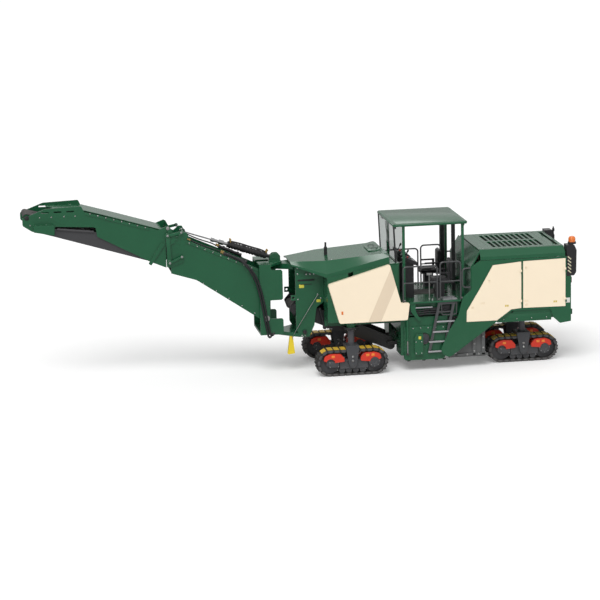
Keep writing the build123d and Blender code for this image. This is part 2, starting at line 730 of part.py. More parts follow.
# ---- loading conveyor -----------------------------------------------------------------
def loading_frame():
    """Side plates, cross tubes, pulleys and the drive motor of the loading conveyor."""
    (tail_x, tail_z), (head_x, head_z) = LOAD_TAIL, LOAD_HEAD
    side_view = [
        (tail_x - 35, tail_z - 110, 60),
        (head_x + 60, head_z - 160, 60),
        (head_x + 140, head_z + 60, 60),
        (head_x - 20, head_z + 240, 60),
        (tail_x - 35, tail_z + 230, 60),
    ]
    inner_y = LOAD_HALF - LOAD_SIDE_T
    frame = fused(
        [side_plate(side_view, -inner_y, -LOAD_HALF), side_plate(side_view, inner_y, LOAD_HALF)]
        + [
            round_y(
                tail_x + share * (head_x - tail_x),
                tail_z + share * (head_z - tail_z),
                30,
                -inner_y - 10,
                inner_y + 10,
            )
            for share in (0.2, 0.4, 0.6, 0.8)
        ]
    )
    for side in (-1, 1):
        frame = frame + round_y(3300, 1560, 45, side * (LOAD_HALF - 8), side * 540)
        foot_x = HOUSING_X[1]
        frame = frame + block(foot_x, tail_x + 120, side * (LOAD_HALF - 18), side * 560, 600, 690)
    for x, z in (LOAD_TAIL, LOAD_HEAD):
        frame = frame + round_y(x, z, LOAD_PULLEY_R - SEAT, -BELT_HALF, BELT_HALF)
        frame = frame + round_y(x, z, 30, -LOAD_HALF + 8, LOAD_HALF - 8)
    return frame + round_y(head_x, head_z, 130, LOAD_HALF - 8, LOAD_HALF + 57)


def belt_loop(ends, pulley_r):
    """A closed belt round two pulleys."""
    (x0, z0), (x1, z1) = ends
    centres = hypot(x1 - x0, z1 - z0)
    tilt = degrees(atan2(z1 - z0, x1 - x0))
    outer = Plane.XZ * SlotCenterToCenter(centres, 2 * (pulley_r + BELT_T))
    inner = Plane.XZ * SlotCenterToCenter(centres, 2 * pulley_r)
    ring = extrude(outer - inner, amount=BELT_HALF, both=True)
    return Pos((x0 + x1) / 2, 0, (z0 + z1) / 2) * Rot(0, -tilt, 0) * ring


# ---- discharge conveyor -----------------------------------------------------------------
def swivel_frame():
    """The slewing frame: two plates with their pins, the cheeks that hold the conveyor's
    foot, and the lug of the luffing cylinder."""
    top_z = TOWER_Z[1] + SLEW_GAP
    bottom_z = TOWER_Z[0] + TOWER_LUG_T[0] + SLEW_GAP
    plate_t = 60
    cheek_out = CHEEK_Y[1]
    rear_top, rear_bottom = 4300, 4370
    front = 4620
    top = flat_plate(
        [
            (SLEW_X - 150, -200),
            (rear_top, -cheek_out),
            (front, -cheek_out),
            (front, cheek_out),
            (rear_top, cheek_out),
            (SLEW_X - 150, 200),
        ],
        top_z,
        top_z + plate_t,
    )
    bottom = flat_plate(
        [
            (SLEW_X - 120, -200),
            (rear_bottom, -cheek_out),
            (front, -cheek_out),
            (front, cheek_out),
            (rear_bottom, cheek_out),
            (SLEW_X - 120, 200),
        ],
        bottom_z,
        bottom_z + plate_t,
    )
    ram_room = block(4290, front + 20, -130, 130, top_z - 10, top_z + plate_t + 10)
    motor_room = (LOAD_HEAD[1] - 210, LOAD_HEAD[1] + 280)
    cheek = [
        (CHEEK_REAR_X, bottom_z, 60),
        (front, bottom_z),
        (front, top_z + plate_t),
        (rear_top + 20, top_z + plate_t),
        (rear_top + 20, top_z - 90, 60),
        (CHEEK_REAR_X, top_z - 90, 60),
        (CHEEK_REAR_X, motor_room[1], 60),
        (rear_bottom, motor_room[1], 60),
        (rear_bottom, motor_room[0], 60),
        (CHEEK_REAR_X, motor_room[0], 60),
    ]
    lug = [
        (3985, top_z + plate_t - SEAT),
        (4270, top_z + plate_t - SEAT),
        (4260, 3040, 40),
        (4180, 3110, 60),
        (4050, 3110, 60),
        (3985, 3030, 40),
    ]
    foot_x, foot_z = RAM_FOOT
    frame = fused([top - ram_room, bottom])
    for side in (-1, 1):
        frame = frame + side_plate(cheek, side * CHEEK_Y[0], side * cheek_out)
        bore_y = (side * (CHEEK_Y[0] - 20), side * (cheek_out + 20))
        frame = frame - round_y(LUFF[0], LUFF[1], LUFF_PIN_R + PIN_GAP, *bore_y)
        frame = frame + side_plate(lug, side * 50, side * 80)
    frame = frame + round_z(SLEW_X, 0, SLEW_PIN_R, TOWER_Z[1] - TOWER_LUG_T[1] - 20, top_z + 4)
    frame = frame + round_z(SLEW_X, 0, SLEW_PIN_R, TOWER_Z[0] - 20, bottom_z + 4)
    return frame + round_y(foot_x, foot_z, RAM_FOOT_PIN_R, -85, 85)


def side_pair(points, y0, y1):
    """The same flat outline on both sides of the conveyor."""
    return [side_plate(points, side * y0, side * y1) for side in (-1, 1)]


def bottom_sheet(start, end, half):
    """A sheet across the conveyor from one point of its side view to another."""
    thick = 25
    outline_points = [start, end, (end[0], end[1] + thick), (start[0], start[1] + thick)]
    return side_plate(outline_points, -half, half)


def edge_strip(points, depth, y0, y1):
    """Flanges on both side plates under the given top edge."""
    lower = [(x, z - depth) for x, z in reversed(points)]
    return side_pair(points + lower, y0, y1)


def pulleys(ends):
    """The end pulleys of a belt, on shafts between the side plates."""
    shapes = []
    for x, z in ends:
        shapes.append(round_y(x, z, PULLEY_R - SEAT, -BELT_HALF, BELT_HALF))
        shapes.append(round_y(x, z, 28, -CONVEYOR_HALF + 5, CONVEYOR_HALF - 5))
    return shapes


def inner_frame():
    """The near half of the conveyor, with its foot pins, the tube that the luffing
    cylinder pulls on, and the lugs and lock links of the fold."""
    side_in = CONVEYOR_HALF - SIDE_T
    link_y = (CONVEYOR_HALF + 6, CONVEYOR_HALF + 30)
    fold_x, fold_z = FOLD
    eye_x, eye_z = RAM_EYE
    ram_tower = [(6300, 3500), (6760, 3700), (eye_x + 50, eye_z + 60, 30), (eye_x - 50, eye_z + 60, 30)]
    fold_lug = [
        (6700, 3640),
        (6885, 3720),
        (fold_x + 45, fold_z, 20),
        (fold_x, fold_z + 50, 20),
        (fold_x - 60, fold_z + 20, 20),
    ]
    packing = [(6640, 3540), (6880, 3640), (6880, 3800), (6640, 3690)]
    lock_strut = [
        (6780, 3600),
        (6890, 3560),
        (6895, 2990, 30),
        (6950, 2950, 30),
        (7000, 2990, 30),
        (6985, 3660, 60),
        (6900, 3780),
        (6780, 3740),
    ]
    lock_link = [(6560, 3095, 30), (6940, 2955, 30), (6985, 3030, 30), (6600, 3185, 30)]
    link_packing = [(6560, 3100), (6700, 3060), (6720, 3130), (6600, 3180)]
    frame = fused(
        side_pair(INNER_SIDE, side_in, CONVEYOR_HALF)
        + [
            bottom_sheet((4560, 1450), (6240, 2600), CONVEYOR_HALF - SEAT),
            bottom_sheet((6240, 2600), (6880, 2805), CONVEYOR_HALF - SEAT),
        ]
        + side_pair(ram_tower, side_in, CONVEYOR_HALF)
        + side_pair(packing, CONVEYOR_HALF - 5, CONVEYOR_HALF + 10)
        + side_pair(link_packing, CONVEYOR_HALF - 5, CONVEYOR_HALF + 10)
        + side_pair(fold_lug, CONVEYOR_HALF + 1, CONVEYOR_HALF + 30)
        + side_pair(lock_strut, *link_y)
        + side_pair(lock_link, *link_y)
        + edge_strip([(4640, 2795), (6480, 3632)], 60, CONVEYOR_HALF - 2, CONVEYOR_HALF + 18)
    )
    for side in (-1, 1):
        frame = frame + round_y(*LUFF, LUFF_PIN_R, side * 480, side * (CHEEK_Y[1] + 12))
        frame = frame + round_y(*LUFF, 90, side * 490, side * (CHEEK_Y[0] - 20))
        frame = frame - round_y(*FOLD, FOLD_PIN_R + PIN_GAP, side * 480, side * 560)
    frame = frame + round_y(eye_x, eye_z, 22, -side_in - 10, side_in + 10)
    return frame + pulleys(INNER_BELT)


def outer_frame():
    """The far half of the conveyor, with its fold ears and pins, the slotted head plates
    and the drive motor's box."""
    side_in = CONVEYOR_HALF - SIDE_T
    fold_x, fold_z = FOLD
    ear = [
        (7015, 3700),
        (7200, 3760),
        (7200, 3950),
        (fold_x + 20, fold_z + 48, 15),
        (fold_x - 45, fold_z + 10, 15),
        (fold_x - 20, fold_z - 42, 15),
    ]
    brace = [(7040, 3560, 20), (7400, 3040, 20), (7470, 3090, 20), (7120, 3620, 20)]
    frame = fused(
        side_pair(OUTER_SIDE, side_in, CONVEYOR_HALF)
        + [bottom_sheet((7020, 2970), (7430, 3145), CONVEYOR_HALF - SEAT)]
        + side_pair(ear, side_in - 5, CONVEYOR_HALF - SEAT)
        + side_pair(brace, CONVEYOR_HALF - SEAT, CONVEYOR_HALF + 30)
        + edge_strip([(7440, 4020), (9040, 4500)], 60, CONVEYOR_HALF - 2, CONVEYOR_HALF + 18)
    )
    for side in (-1, 1):
        frame = frame + round_y(*FOLD, FOLD_PIN_R, side * (side_in - 5), side * (CONVEYOR_HALF + 36))
        for x in (9420, 9740, 10060):
            slot = Pos(x, side * (CONVEYOR_HALF - SIDE_T / 2), 4545) * Rot(90, 0, 0)
            frame = frame - slot * extrude(SlotOverall(200, 36), amount=SIDE_T, both=True)
    motor_box = [(9850, 3965, 20), (10370, 4075, 20), (10370, 4235, 20), (9850, 4235, 20)]
    return frame + side_plate(motor_box, CONVEYOR_HALF - 5, CONVEYOR_HALF + 140) + pulleys(OUTER_BELT)


def conveyor_tray():
    """The dark pan under the far half's belt, with its belt-tension tubes."""
    half = CONVEYOR_HALF - SIDE_T - SEAT
    walls = side_pair(TRAY, half - 30, half)
    sheets = [
        bottom_sheet((7440, 3150), (9830, 3905), half),
        bottom_sheet((9830, 3905), (10390, 4075), half),
    ]
    tray = fused(sheets + walls)
    for side in (-1, 1):
        y = side * (half + 5)
        tray = tray + rod((8840, y, 3985), (9770, y, 4095), 34)
    return tray


def conveyor_cover():
    half = CONVEYOR_HALF - SIDE_T - GAP
    roof = [
        (7080, 3930),
        (8420, 4345),
        (9060, 4535),
        (9990, 4570),
        (9990, 4586),
        (9055, 4552),
        (8410, 4362),
        (7080, 3950),
    ]
    return side_plate(roof, -half, half) - round_z(9990, 0, 150, 4500, 4650)


def along_ram(distance):
    """A point on the luffing cylinder's line, at a distance from its foot."""
    run = Vector(RAM_EYE[0] - RAM_FOOT[0], 0, RAM_EYE[1] - RAM_FOOT[1]).normalized()
    return (RAM_FOOT[0] + run.X * distance, 0, RAM_FOOT[1] + run.Z * distance)


RAM_LENGTH = hypot(RAM_EYE[0] - RAM_FOOT[0], RAM_EYE[1] - RAM_FOOT[1])


def luff_barrel():
    """The cylinder's barrel with its eye and the rings of its ribbed guard."""
    barrel = rod(along_ram(165), along_ram(1250), 78)
    rings = [rod(along_ram(start), along_ram(start + 40), 90) for start in range(190, 1210, 80)]
    eye = round_y(*RAM_FOOT, 60, -45, 45)
    neck = rod(along_ram(20), along_ram(175), 45)
    whole = fused([barrel, eye, neck] + rings)
    whole = whole - round_y(*RAM_FOOT, RAM_FOOT_PIN_R + PIN_GAP, -60, 60)
    return whole - rod(along_ram(170), along_ram(1300), RAM_BORE_R + PIN_GAP)


def luff_rod():
    """The rod with its coupling and tie bar. Its eye is wide, because the ram's true path
    drifts from the pin by up to 30 mm over the lift."""
    inside = rod(along_ram(260), along_ram(1350), RAM_BORE_R)
    coupling = [
        rod(along_ram(1350), along_ram(1480), 62),
        rod(along_ram(1470), along_ram(1620), 40),
        rod(along_ram(1610), along_ram(1700), 52),
    ]
    tie = rod(along_ram(1690), along_ram(RAM_LENGTH - 60), 18)
    eye = round_y(*RAM_EYE, 80, -22, 22)
    return fused([inside] + coupling + [tie, eye]) - round_y(*RAM_EYE, 56, -60, 60)


# ---- operator's station -----------------------------------------------------------------
SHELF_Z = 2875.0


def platform():
    """The floor over the drum housing, the wall and shelf before the desks, and the arms
    that hang beside the housing."""
    housing_front = HOUSING_X[1]
    strap_top = FLOOR_Z + FLOOR_T + STRAP_T
    deck_bottom = DECK_Z - DECK_T
    base_half = HOUSING_HALF - 30
    wall_half = HOUSING_HALF - 15
    deck_half = BODY_HALF - 10
    base = block(-560, housing_front + 20, -base_half, base_half, strap_top, deck_bottom)
    deck = block(-819, 1040, -wall_half, wall_half, deck_bottom, DECK_Z)
    landing = block(-560, 790, -deck_half, deck_half, deck_bottom, DECK_Z)
    wall = block(1040, 1080, -wall_half, wall_half, deck_bottom, SHELF_Z)
    shelf = block(1080, COVER_REAR_X, -wall_half, wall_half, SHELF_Z - 35, SHELF_Z)
    arm = [
        (640, deck_bottom + SEAT),
        (790, deck_bottom + SEAT),
        (765, 1600, 120),
        (640, 1420, 120),
        (545, 1325, 30),
        (490, 1385, 30),
        (580, 1480, 100),
        (640, 1620, 100),
    ]
    return fused([base, deck, landing, wall, shelf] + side_pair(arm, *LADDER_Y))


def ladders():
    """Steps on both sides, from the drum housing's foot to the landing."""
    foot = (295, 460)
    head = (5, 1800)
    width = 385
    ladders_made = []
    for side in (-1, 1):
        y0, y1 = side * LADDER_Y[0], side * LADDER_Y[1]
        parts = []
        for shift in (0, -width):
            rail = [
                (head[0] - 35 + shift, head[1]),
                (head[0] + 35 + shift, head[1]),
                (foot[0] + 35 + shift, foot[1], 20),
                (foot[0] - 35 + shift, foot[1], 20),
            ]
            parts.append(side_plate(rail, y0, y1))
        for z in (480, 740, 1000, 1270, 1530):
            x = foot[0] + (z - foot[1]) * (head[0] - foot[0]) / (head[1] - foot[1])
            parts.append(block(x - width, x, y0, y1, z, z + 30))
        inner_y = side * (HOUSING_HALF - 30)
        parts.append(block(-420, 40, inner_y, y1, 1740, DECK_Z - DECK_T))
        ladders_made.append(fused(parts))
    return ladders_made


def handrails():
    """Two hoops and a wall rail on each side of the platform."""
    tube_r, bar_r, bend = 20, 16, 90
    y = BODY_HALF - 50
    hoops = [
        # rear x, front x, top z
        (60, 960, 2780),
        (-560, -20, 2860),
    ]
    rails = []
    for rear_x, front_x, top in hoops:
        corners = [(rear_x, y, DECK_Z), (rear_x, y, top), (front_x, y, top), (front_x, y, DECK_Z)]
        hoop = bent_tube(corners, tube_r, bend) + rod((rear_x, y, 2350), (front_x, y, 2350), bar_r)
        rails = rails + both_sides(hoop)
    wall_x = -820
    corners = [(wall_x, y, 2160), (-610, y, 2160), (-610, y, 2660), (wall_x, y, 2660)]
    return rails + both_sides(bent_tube(corners, tube_r, bend))


def canopy_roof():
    """The flat roof with rounded corners and a recess in its underside."""
    rear, front = CANOPY_X
    bottom = CANOPY_TOP_Z - CANOPY_T
    roof = block(rear, front, -CANOPY_HALF, CANOPY_HALF, bottom, CANOPY_TOP_Z)
    roof = fillet(roof.edges().filter_by(Axis.Z), 60)
    roof = chamfer(roof.faces().sort_by(Axis.Z)[-1].edges(), 18)
    rim = 55
    pocket_half = CANOPY_HALF - rim
    pocket = block(
        rear + rim, front - 2 * rim, -pocket_half, pocket_half, bottom - 5, bottom + CANOPY_POCKET
    )
    return roof - pocket


def canopy_posts():
    """Green square posts at the roof's corners."""
    top = CANOPY_TOP_Z - CANOPY_T + CANOPY_POCKET
    return [
        block(x - 35, x + 35, y - 25, y + 25, DECK_Z, top) for x in POST_X for y in (-POST_Y, POST_Y)
    ]


def lift_posts():
    """Black posts beside the windscreen, and two thicker ones at the rear that lift the
    roof: one on the right and one amidships."""
    top = CANOPY_TOP_Z - CANOPY_T
    screen_post = [(1092, SHELF_Z), (1132, SHELF_Z), (1172, top), (1137, top)]
    posts = side_pair(screen_post, POST_Y - 25, POST_Y + 25)
    for x, y, half in ((-550, -980, 55), (-640, 0, 45)):
        posts.append(block(x - half, x + half, y - half, y + half, DECK_Z, top + CANOPY_POCKET))
    return posts


def windscreen():
    """The leaning front pane and the narrow side panes beside it."""
    top = CANOPY_TOP_Z - CANOPY_T - 2
    front = side_plate([(1108, SHELF_Z), (1120, SHELF_Z), (1163, top), (1151, top)], -980, 980)
    beside = [(945, SHELF_Z + 5), (1091, SHELF_Z + 5), (1130, top - 20), (945, top - 20)]
    return [front] + side_pair(beside, POST_Y - 6, POST_Y + 6)


SEAT_Y = 680.0
SEAT_Z = 2270.0


def seats():
    """Cushions and backs of the two seats, facing forward."""
    shapes = []
    for y in (-SEAT_Y, SEAT_Y):
        cushion = block(-330, 140, y - 230, y + 230, SEAT_Z, SEAT_Z + 110)
        back = block(-450, -331, y - 220, y + 220, SEAT_Z + 20, SEAT_Z + 590)
        shapes.append(fillet(cushion.edges().filter_by(Axis.Z), 40))
        shapes.append(fillet(back.edges().filter_by(Axis.X), 50))
    return shapes


def seat_pedestals():
    """A column and a pan under each seat, with the armrests."""
    shapes = []
    for y in (-SEAT_Y, SEAT_Y):
        column = block(-220, 20, y - 110, y + 110, DECK_Z, SEAT_Z - 29)
        pan = block(-450, 130, y - 260, y + 260, SEAT_Z - 30, SEAT_Z)
        arms = []
        for side in (-1, 1):
            arm_y = y + side * 252
            arms.append(block(-330, -270, arm_y - 8, arm_y + 8, SEAT_Z - SEAT, SEAT_Z + 250))
            arms.append(block(-330, 40, arm_y - 16, arm_y + 16, SEAT_Z + 230, SEAT_Z + 270))
        shapes.append(fused([column, pan] + arms))
    return shapes


def consoles():
    """Two sloping desks on their columns."""
    shapes = []
    for y in (-480, 480):
        stem = side_plate([(560, DECK_Z), (760, DECK_Z), (800, 2900), (560, 2760)], y - 160, y + 160)
        desk = [(470, 2700, 30), (820, 2860), (820, 2960, 30), (470, 2790, 30)]
        shapes.append(stem + side_plate(desk, y - 300, y + 300))
    return shapes


# ---- fittings -----------------------------------------------------------------------------
def corner_boxes():
    """Rounded boxes with air slots on the rear corners."""
    box = side_plate(CORNER_BOX, 960, BODY_HALF)
    wing_y = (BODY_HALF - PANEL + SEAT, BODY_HALF)
    box = box + block(REAR_X - SEAT, CORNER_FRONT_X, *wing_y, *CORNER_Z)
    box = box + block(REAR_X - SEAT, CORNER_FRONT_X, 960, BODY_HALF, HOOD_EAVE_Z + 2, CORNER_Z[1])
    for z in range(2440, 2640, 45):
        box = box - block(REAR_X - 160, REAR_X - 135, 990, BODY_HALF - 35, z, z + 20)
    return both_sides(box)


LAMP_X = REAR_X - 75
LAMP_Y = 1050.0
LAMP_Z = 3190.0


def beacon():
    lamp = round_z(LAMP_X, LAMP_Y, 92, LAMP_Z, LAMP_Z + 150)
    return fillet(lamp.edges().sort_by(Axis.Z)[-1], 70)


def masts():
    """The beacon's foot, a short mast at the rear and one on the cover."""
    foot = round_z(LAMP_X, LAMP_Y, 108, CORNER_Z[1], LAMP_Z)
    rear_mast = round_z(REAR_X + 20, -460, 18, HOOD_EAVE_Z, 3330)
    rear_head = round_z(REAR_X + 20, -460, 34, 3210, 3280)
    front_mast = round_z(2780, 40, 26, 2900, 3320) + round_z(2780, 40, 44, 2900, 3200)
    return [foot, rear_mast + rear_head, front_mast - cover_form(0, 0)]


def wheel_chock():
    """Yellow wedge that hangs under the tower on the left."""
    profile = [(3700, 480, 15), (3890, 460, 15), (3825, TOWER_Z[0]), (3750, TOWER_Z[0])]
    return side_plate(profile, 300, 400)


def lashing_eyes():
    """Four plates with a bore, two behind and two in front."""
    eyes = []
    for x, y, z in EYES:
        plate = block(x - EYE_HALF, x + EYE_HALF, y, y + EYE_T, z - 70, z + 70)
        eyes = eyes + both_sides(plate - round_y(x, z, EYE_R, y - 5, y + EYE_T + 5))
    return eyes


def engine_block():
    """Engine, cooler and pumps as one plain block."""
    return block(-3050, -1250, -330, 330, FLOOR_Z + FLOOR_T, 2500)


# ---- nodes --------------------------------------------------------------------------------
def build():
    """Make every node."""
    build_corners()
    put("main_frame", main_frame())
    put("drum_housing", drum_housing())
    put("milling_drum", milling_drum())
    for name, shape in zip(("left", "right"), both_sides(edge_plate())):
        put("edge_plate_" + name, shape)
    put("scraper", scraper())
    put("side_panels", *both_sides(side_panel()))
    for place in DOORS:
        for name, shape in zip(("left", "right"), both_sides(door(place))):
            put(f"door_{place}_{name}", shape)
    put("engine_bay_walls", *engine_bay_walls())
    put("engine_hood", engine_hood())
    put("engine_block", engine_block())
    put("front_tanks", *front_tanks())
    put("front_cover", front_cover())
    put("fenders", *both_sides(fender()))
    put("front_tower", front_tower())
    put("loading_frame", loading_frame())
    put("loading_belt", belt_loop((LOAD_TAIL, LOAD_HEAD), LOAD_PULLEY_R))
    put("swivel_frame", swivel_frame())
    put("conveyor_inner_frame", inner_frame())
    put("conveyor_outer_frame", outer_frame())
    put("conveyor_inner_belt", belt_loop(INNER_BELT, PULLEY_R))
    put("conveyor_outer_belt", belt_loop(OUTER_BELT, PULLEY_R))
    put("conveyor_tray", conveyor_tray())
    put("conveyor_cover", conveyor_cover())
    put("luff_barrel", luff_barrel())
    put("luff_rod", luff_rod())
    put("platform", platform())
    put("ladders", *ladders())
    put("handrails", *handrails())
    put("canopy_roof", canopy_roof())
    put("canopy_posts", *canopy_posts())
    put("lift_posts", *lift_posts())
    put("windscreen", *windscreen())
    put("seats", *seats())
    put("seat_pedestals", *seat_pedestals())
    put("consoles", *consoles())
    put("corner_boxes", *corner_boxes())
    put("beacon", beacon())
    put("masts", *masts())
    put("wheel_chock", wheel_chock())
    put("lashing_eyes", *lashing_eyes())


def shift_to_origin():
    """How far forward the model moves so that its length is centred on the origin."""
    boxes = [node.bounding_box() for node in NODES.values()]
    low = min(box.min.X for box in boxes)
    high = max(box.max.X for box in boxes)
    return -(low + high) / 2


build()
SHIFT = shift_to_origin()
for node_name, node in NODES.items():
    export_step(Pos(SHIFT, 0, 0) * node, f"parts/{node_name}.step")
print("nodes", len(NODES), "shift", round(SHIFT, 3))
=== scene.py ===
"""Looks of the cold planer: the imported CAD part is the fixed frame, and everything that
is too fine for it, such as pads, bolts, treads, hoses, upholstery and lamps, is added here."""

from math import cos, pi, radians, sin

import bpy
from mathutils import Matrix, Vector


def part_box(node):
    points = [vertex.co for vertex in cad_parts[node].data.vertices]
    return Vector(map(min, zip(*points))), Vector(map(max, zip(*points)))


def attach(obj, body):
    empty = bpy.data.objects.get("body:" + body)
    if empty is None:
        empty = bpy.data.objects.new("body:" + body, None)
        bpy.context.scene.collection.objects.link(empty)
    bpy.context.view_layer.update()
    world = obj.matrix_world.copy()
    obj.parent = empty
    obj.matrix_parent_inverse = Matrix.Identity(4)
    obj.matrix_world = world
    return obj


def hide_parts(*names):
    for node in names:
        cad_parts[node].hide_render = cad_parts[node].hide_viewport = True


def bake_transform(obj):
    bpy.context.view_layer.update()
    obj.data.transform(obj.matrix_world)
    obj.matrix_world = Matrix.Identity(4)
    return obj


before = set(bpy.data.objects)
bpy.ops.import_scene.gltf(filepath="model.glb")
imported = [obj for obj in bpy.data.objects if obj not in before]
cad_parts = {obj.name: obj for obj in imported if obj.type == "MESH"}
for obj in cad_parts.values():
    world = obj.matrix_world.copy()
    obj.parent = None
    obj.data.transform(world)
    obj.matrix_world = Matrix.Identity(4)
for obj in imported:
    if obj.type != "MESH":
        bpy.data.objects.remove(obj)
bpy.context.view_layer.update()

# ---- where things are -----------------------------------------------------------------
# Places along the machine are measured from the middle between its lifting columns, which
# is how the frame was laid out, and heights from the ground. All lengths are in metres.
front_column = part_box("lift_leg_front_left")
rear_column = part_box("lift_leg_rear_left")
MIDDLE = (front_column[0].x + front_column[1].x + rear_column[0].x + rear_column[1].x) / 4


def at(x, y, z):
    """A point, with x from the middle of the wheelbase."""
    return Vector((MIDDLE + x, y, z))


# ---- crawler tracks -------------------------------------------------------------------
# Each track is a forged steel chain with bolted shoes. It runs round a welded side frame
# that rocks on a pin in a cast yoke. The parts are sprayed dark grey before assembly.


def fill(tree, sockets, values):
    """Give sockets their values in turn: a socket is linked, a number or colour is set."""
    for socket, value in zip(sockets, values):
        if isinstance(value, bpy.types.NodeSocket):
            tree.links.new(value, socket)
        else:
            socket.default_value = value


def give(tree, made, **values):
    """Give a node its settings and its inputs by name, with _ for a space."""
    for label, value in values.items():
        if label in made.bl_rna.properties:
            setattr(made, label, value)
        else:
            fill(tree, [made.inputs[label.replace("_", " ")]], [value])


def node(tree, kind, **values):
    """A new node with its settings and inputs given by name."""
    made = tree.nodes.new(kind)
    give(tree, made, **values)
    return made


def sums(tree, operation, first, second, clamp=False):
    """One step of arithmetic between sockets or numbers."""
    made = node(tree, "ShaderNodeMath", operation=operation, use_clamp=clamp)
    fill(tree, made.inputs, (first, second))
    return made.outputs[0]


def dot(tree, first, second):
    """How far two directions agree."""
    made = node(tree, "ShaderNodeVectorMath", operation="DOT_PRODUCT")
    fill(tree, made.inputs, (first, second))
    return made.outputs["Value"]


def upright(tree, vector):
    """The share of a vector that points up."""
    return node(tree, "ShaderNodeSeparateXYZ", Vector=vector).outputs["Z"]


def cloud(tree, scale, detail, rough):
    """Cloudy noise that is fixed to the part."""
    place = node(tree, "ShaderNodeTexCoord").outputs["Object"]
    made = node(tree, "ShaderNodeTexNoise", Vector=place, Scale=scale, Detail=detail, Roughness=rough)
    return made.outputs["Fac"]


def value_group(name, inputs, outputs):
    """A new node group: its tree, what it is given by name, and what it gives out."""
    group = bpy.data.node_groups.new(name, "ShaderNodeTree")
    for label, default in inputs.items():
        socket = group.interface.new_socket(label, in_out="INPUT", socket_type="NodeSocketFloat")
        socket.default_value = default
    for label in outputs:
        kind = "NodeSocketVector" if label == "Normal" else "NodeSocketFloat"
        group.interface.new_socket(label, in_out="OUTPUT", socket_type=kind)
    return group, node(group, "NodeGroupInput").outputs, node(group, "NodeGroupOutput")


def worn_edges():
    """Mask of rubbed corners, and the normal of an edge that is broken by a file."""
    group, given, out = value_group("worn_edges", {"Radius": 0.006, "Amount": 0.5}, ("Mask", "Normal"))
    edge = node(group, "ShaderNodeBevel", samples=4, Radius=given["Radius"]).outputs["Normal"]
    flat = node(group, "ShaderNodeNewGeometry").outputs["Normal"]
    turned_off = sums(group, "SUBTRACT", 1.0, dot(group, edge, flat))
    sharp = sums(group, "MULTIPLY", turned_off, 9.0, clamp=True)
    chips = sums(group, "SUBTRACT", cloud(group, 38.0, 4.0, 0.7), 0.45)
    patchy = sums(group, "MULTIPLY", chips, 7.0, clamp=True)
    both = sums(group, "MULTIPLY", sharp, patchy)
    give(group, out, Mask=sums(group, "MULTIPLY", both, given["Amount"], clamp=True), Normal=edge)
    return group


def road_dust():
    """Mask of pale dust: most on the lowest parts and on faces that look up."""
    group, given, out = value_group("road_dust", {"Reach": 1.2, "Amount": 0.3}, ("Mask",))
    height = upright(group, node(group, "ShaderNodeTexCoord").outputs["Object"])
    level = upright(group, node(group, "ShaderNodeNewGeometry").outputs["Normal"])
    low = sums(group, "SUBTRACT", 1.0, sums(group, "DIVIDE", height, given["Reach"]), clamp=True)
    up = sums(group, "MULTIPLY", level, 0.35, clamp=True)
    settled = sums(group, "ADD", low, up, clamp=True)
    broken = sums(group, "MULTIPLY", settled, cloud(group, 5.0, 6.0, 0.65))
    give(group, out, Mask=sums(group, "MULTIPLY", broken, given["Amount"], clamp=True))
    return group


def sprayed_skin():
    """Slow drift of a sprayed coat's colour, and the fine waviness of its surface."""
    group, given, out = value_group("sprayed_skin", {"Scale": 120.0, "Drift": 0.1}, ("Shade", "Height"))
    centred = sums(group, "SUBTRACT", cloud(group, 1.7, 5.0, 0.6), 0.5)
    spread = sums(group, "MULTIPLY", centred, given["Drift"])
    peel = cloud(group, given["Scale"], 3.0, 0.5)
    give(group, out, Shade=sums(group, "ADD", spread, 1.0), Height=peel)
    return group


WORN_EDGES = worn_edges()
ROAD_DUST = road_dust()
SPRAYED_SKIN = sprayed_skin()
BARE_STEEL = (0.30, 0.29, 0.28, 1)
DUST = (0.42, 0.39, 0.35, 1)


def mixed(tree, factor, first, second):
    """A colour between two colours or sockets by a mask."""
    made = node(tree, "ShaderNodeMix", data_type="RGBA")
    fill(tree, (made.inputs["Factor"], made.inputs[6], made.inputs[7]), (factor, first, second))
    return made.outputs[2]


def blank(name):
    """A new material, its node tree and its main shader."""
    made = bpy.data.materials.new(name)
    made.use_nodes = True
    return made, made.node_tree, made.node_tree.nodes["Principled BSDF"]


def finish(name, colour, rough, metal=0.0, coat=0.0, wear=0.4, under=BARE_STEEL,
           dust=0.25, reach=1.2, drift=0.25, grain=120.0, bump=0.06, edge=0.006, pattern=None):
    """A surface finish: colour that drifts a little, rubbed edges, dust and a fine grain. A
    pattern gets the material's tree and the colour's socket, and gives a new socket."""
    made, tree, shader = blank(name)
    made.diffuse_color = (*colour, 1)
    skin = node(tree, "ShaderNodeGroup", node_tree=SPRAYED_SKIN, Scale=grain, Drift=drift).outputs
    edges = node(tree, "ShaderNodeGroup", node_tree=WORN_EDGES, Radius=edge, Amount=wear).outputs
    dusted = node(tree, "ShaderNodeGroup", node_tree=ROAD_DUST, Reach=reach, Amount=dust)
    settled = dusted.outputs["Mask"]
    scaled = node(tree, "ShaderNodeVectorMath", operation="SCALE", Vector=colour, Scale=skin["Shade"])
    shown = scaled.outputs[0]
    if pattern:
        shown = pattern(tree, shown)
    shown = mixed(tree, settled, mixed(tree, edges["Mask"], shown, under), DUST)
    base = sums(tree, "ADD", sums(tree, "MULTIPLY", skin["Height"], 0.12), rough - 0.06)
    dulled = sums(tree, "MULTIPLY", settled, 0.5)
    relief = node(tree, "ShaderNodeBump", Strength=bump, Distance=0.002, Height=skin["Height"],
                  Normal=edges["Normal"])
    give(tree, shader, Metallic=metal, Coat_Weight=coat, Coat_Roughness=0.12, Base_Color=shown,
         Roughness=sums(tree, "ADD", base, dulled, clamp=True), Normal=relief.outputs["Normal"])
    return made


def dress(material, *names):
    """Give CAD nodes their finish."""
    for name in names:
        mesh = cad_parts[name].data
        mesh.materials.clear()
        mesh.materials.append(material)


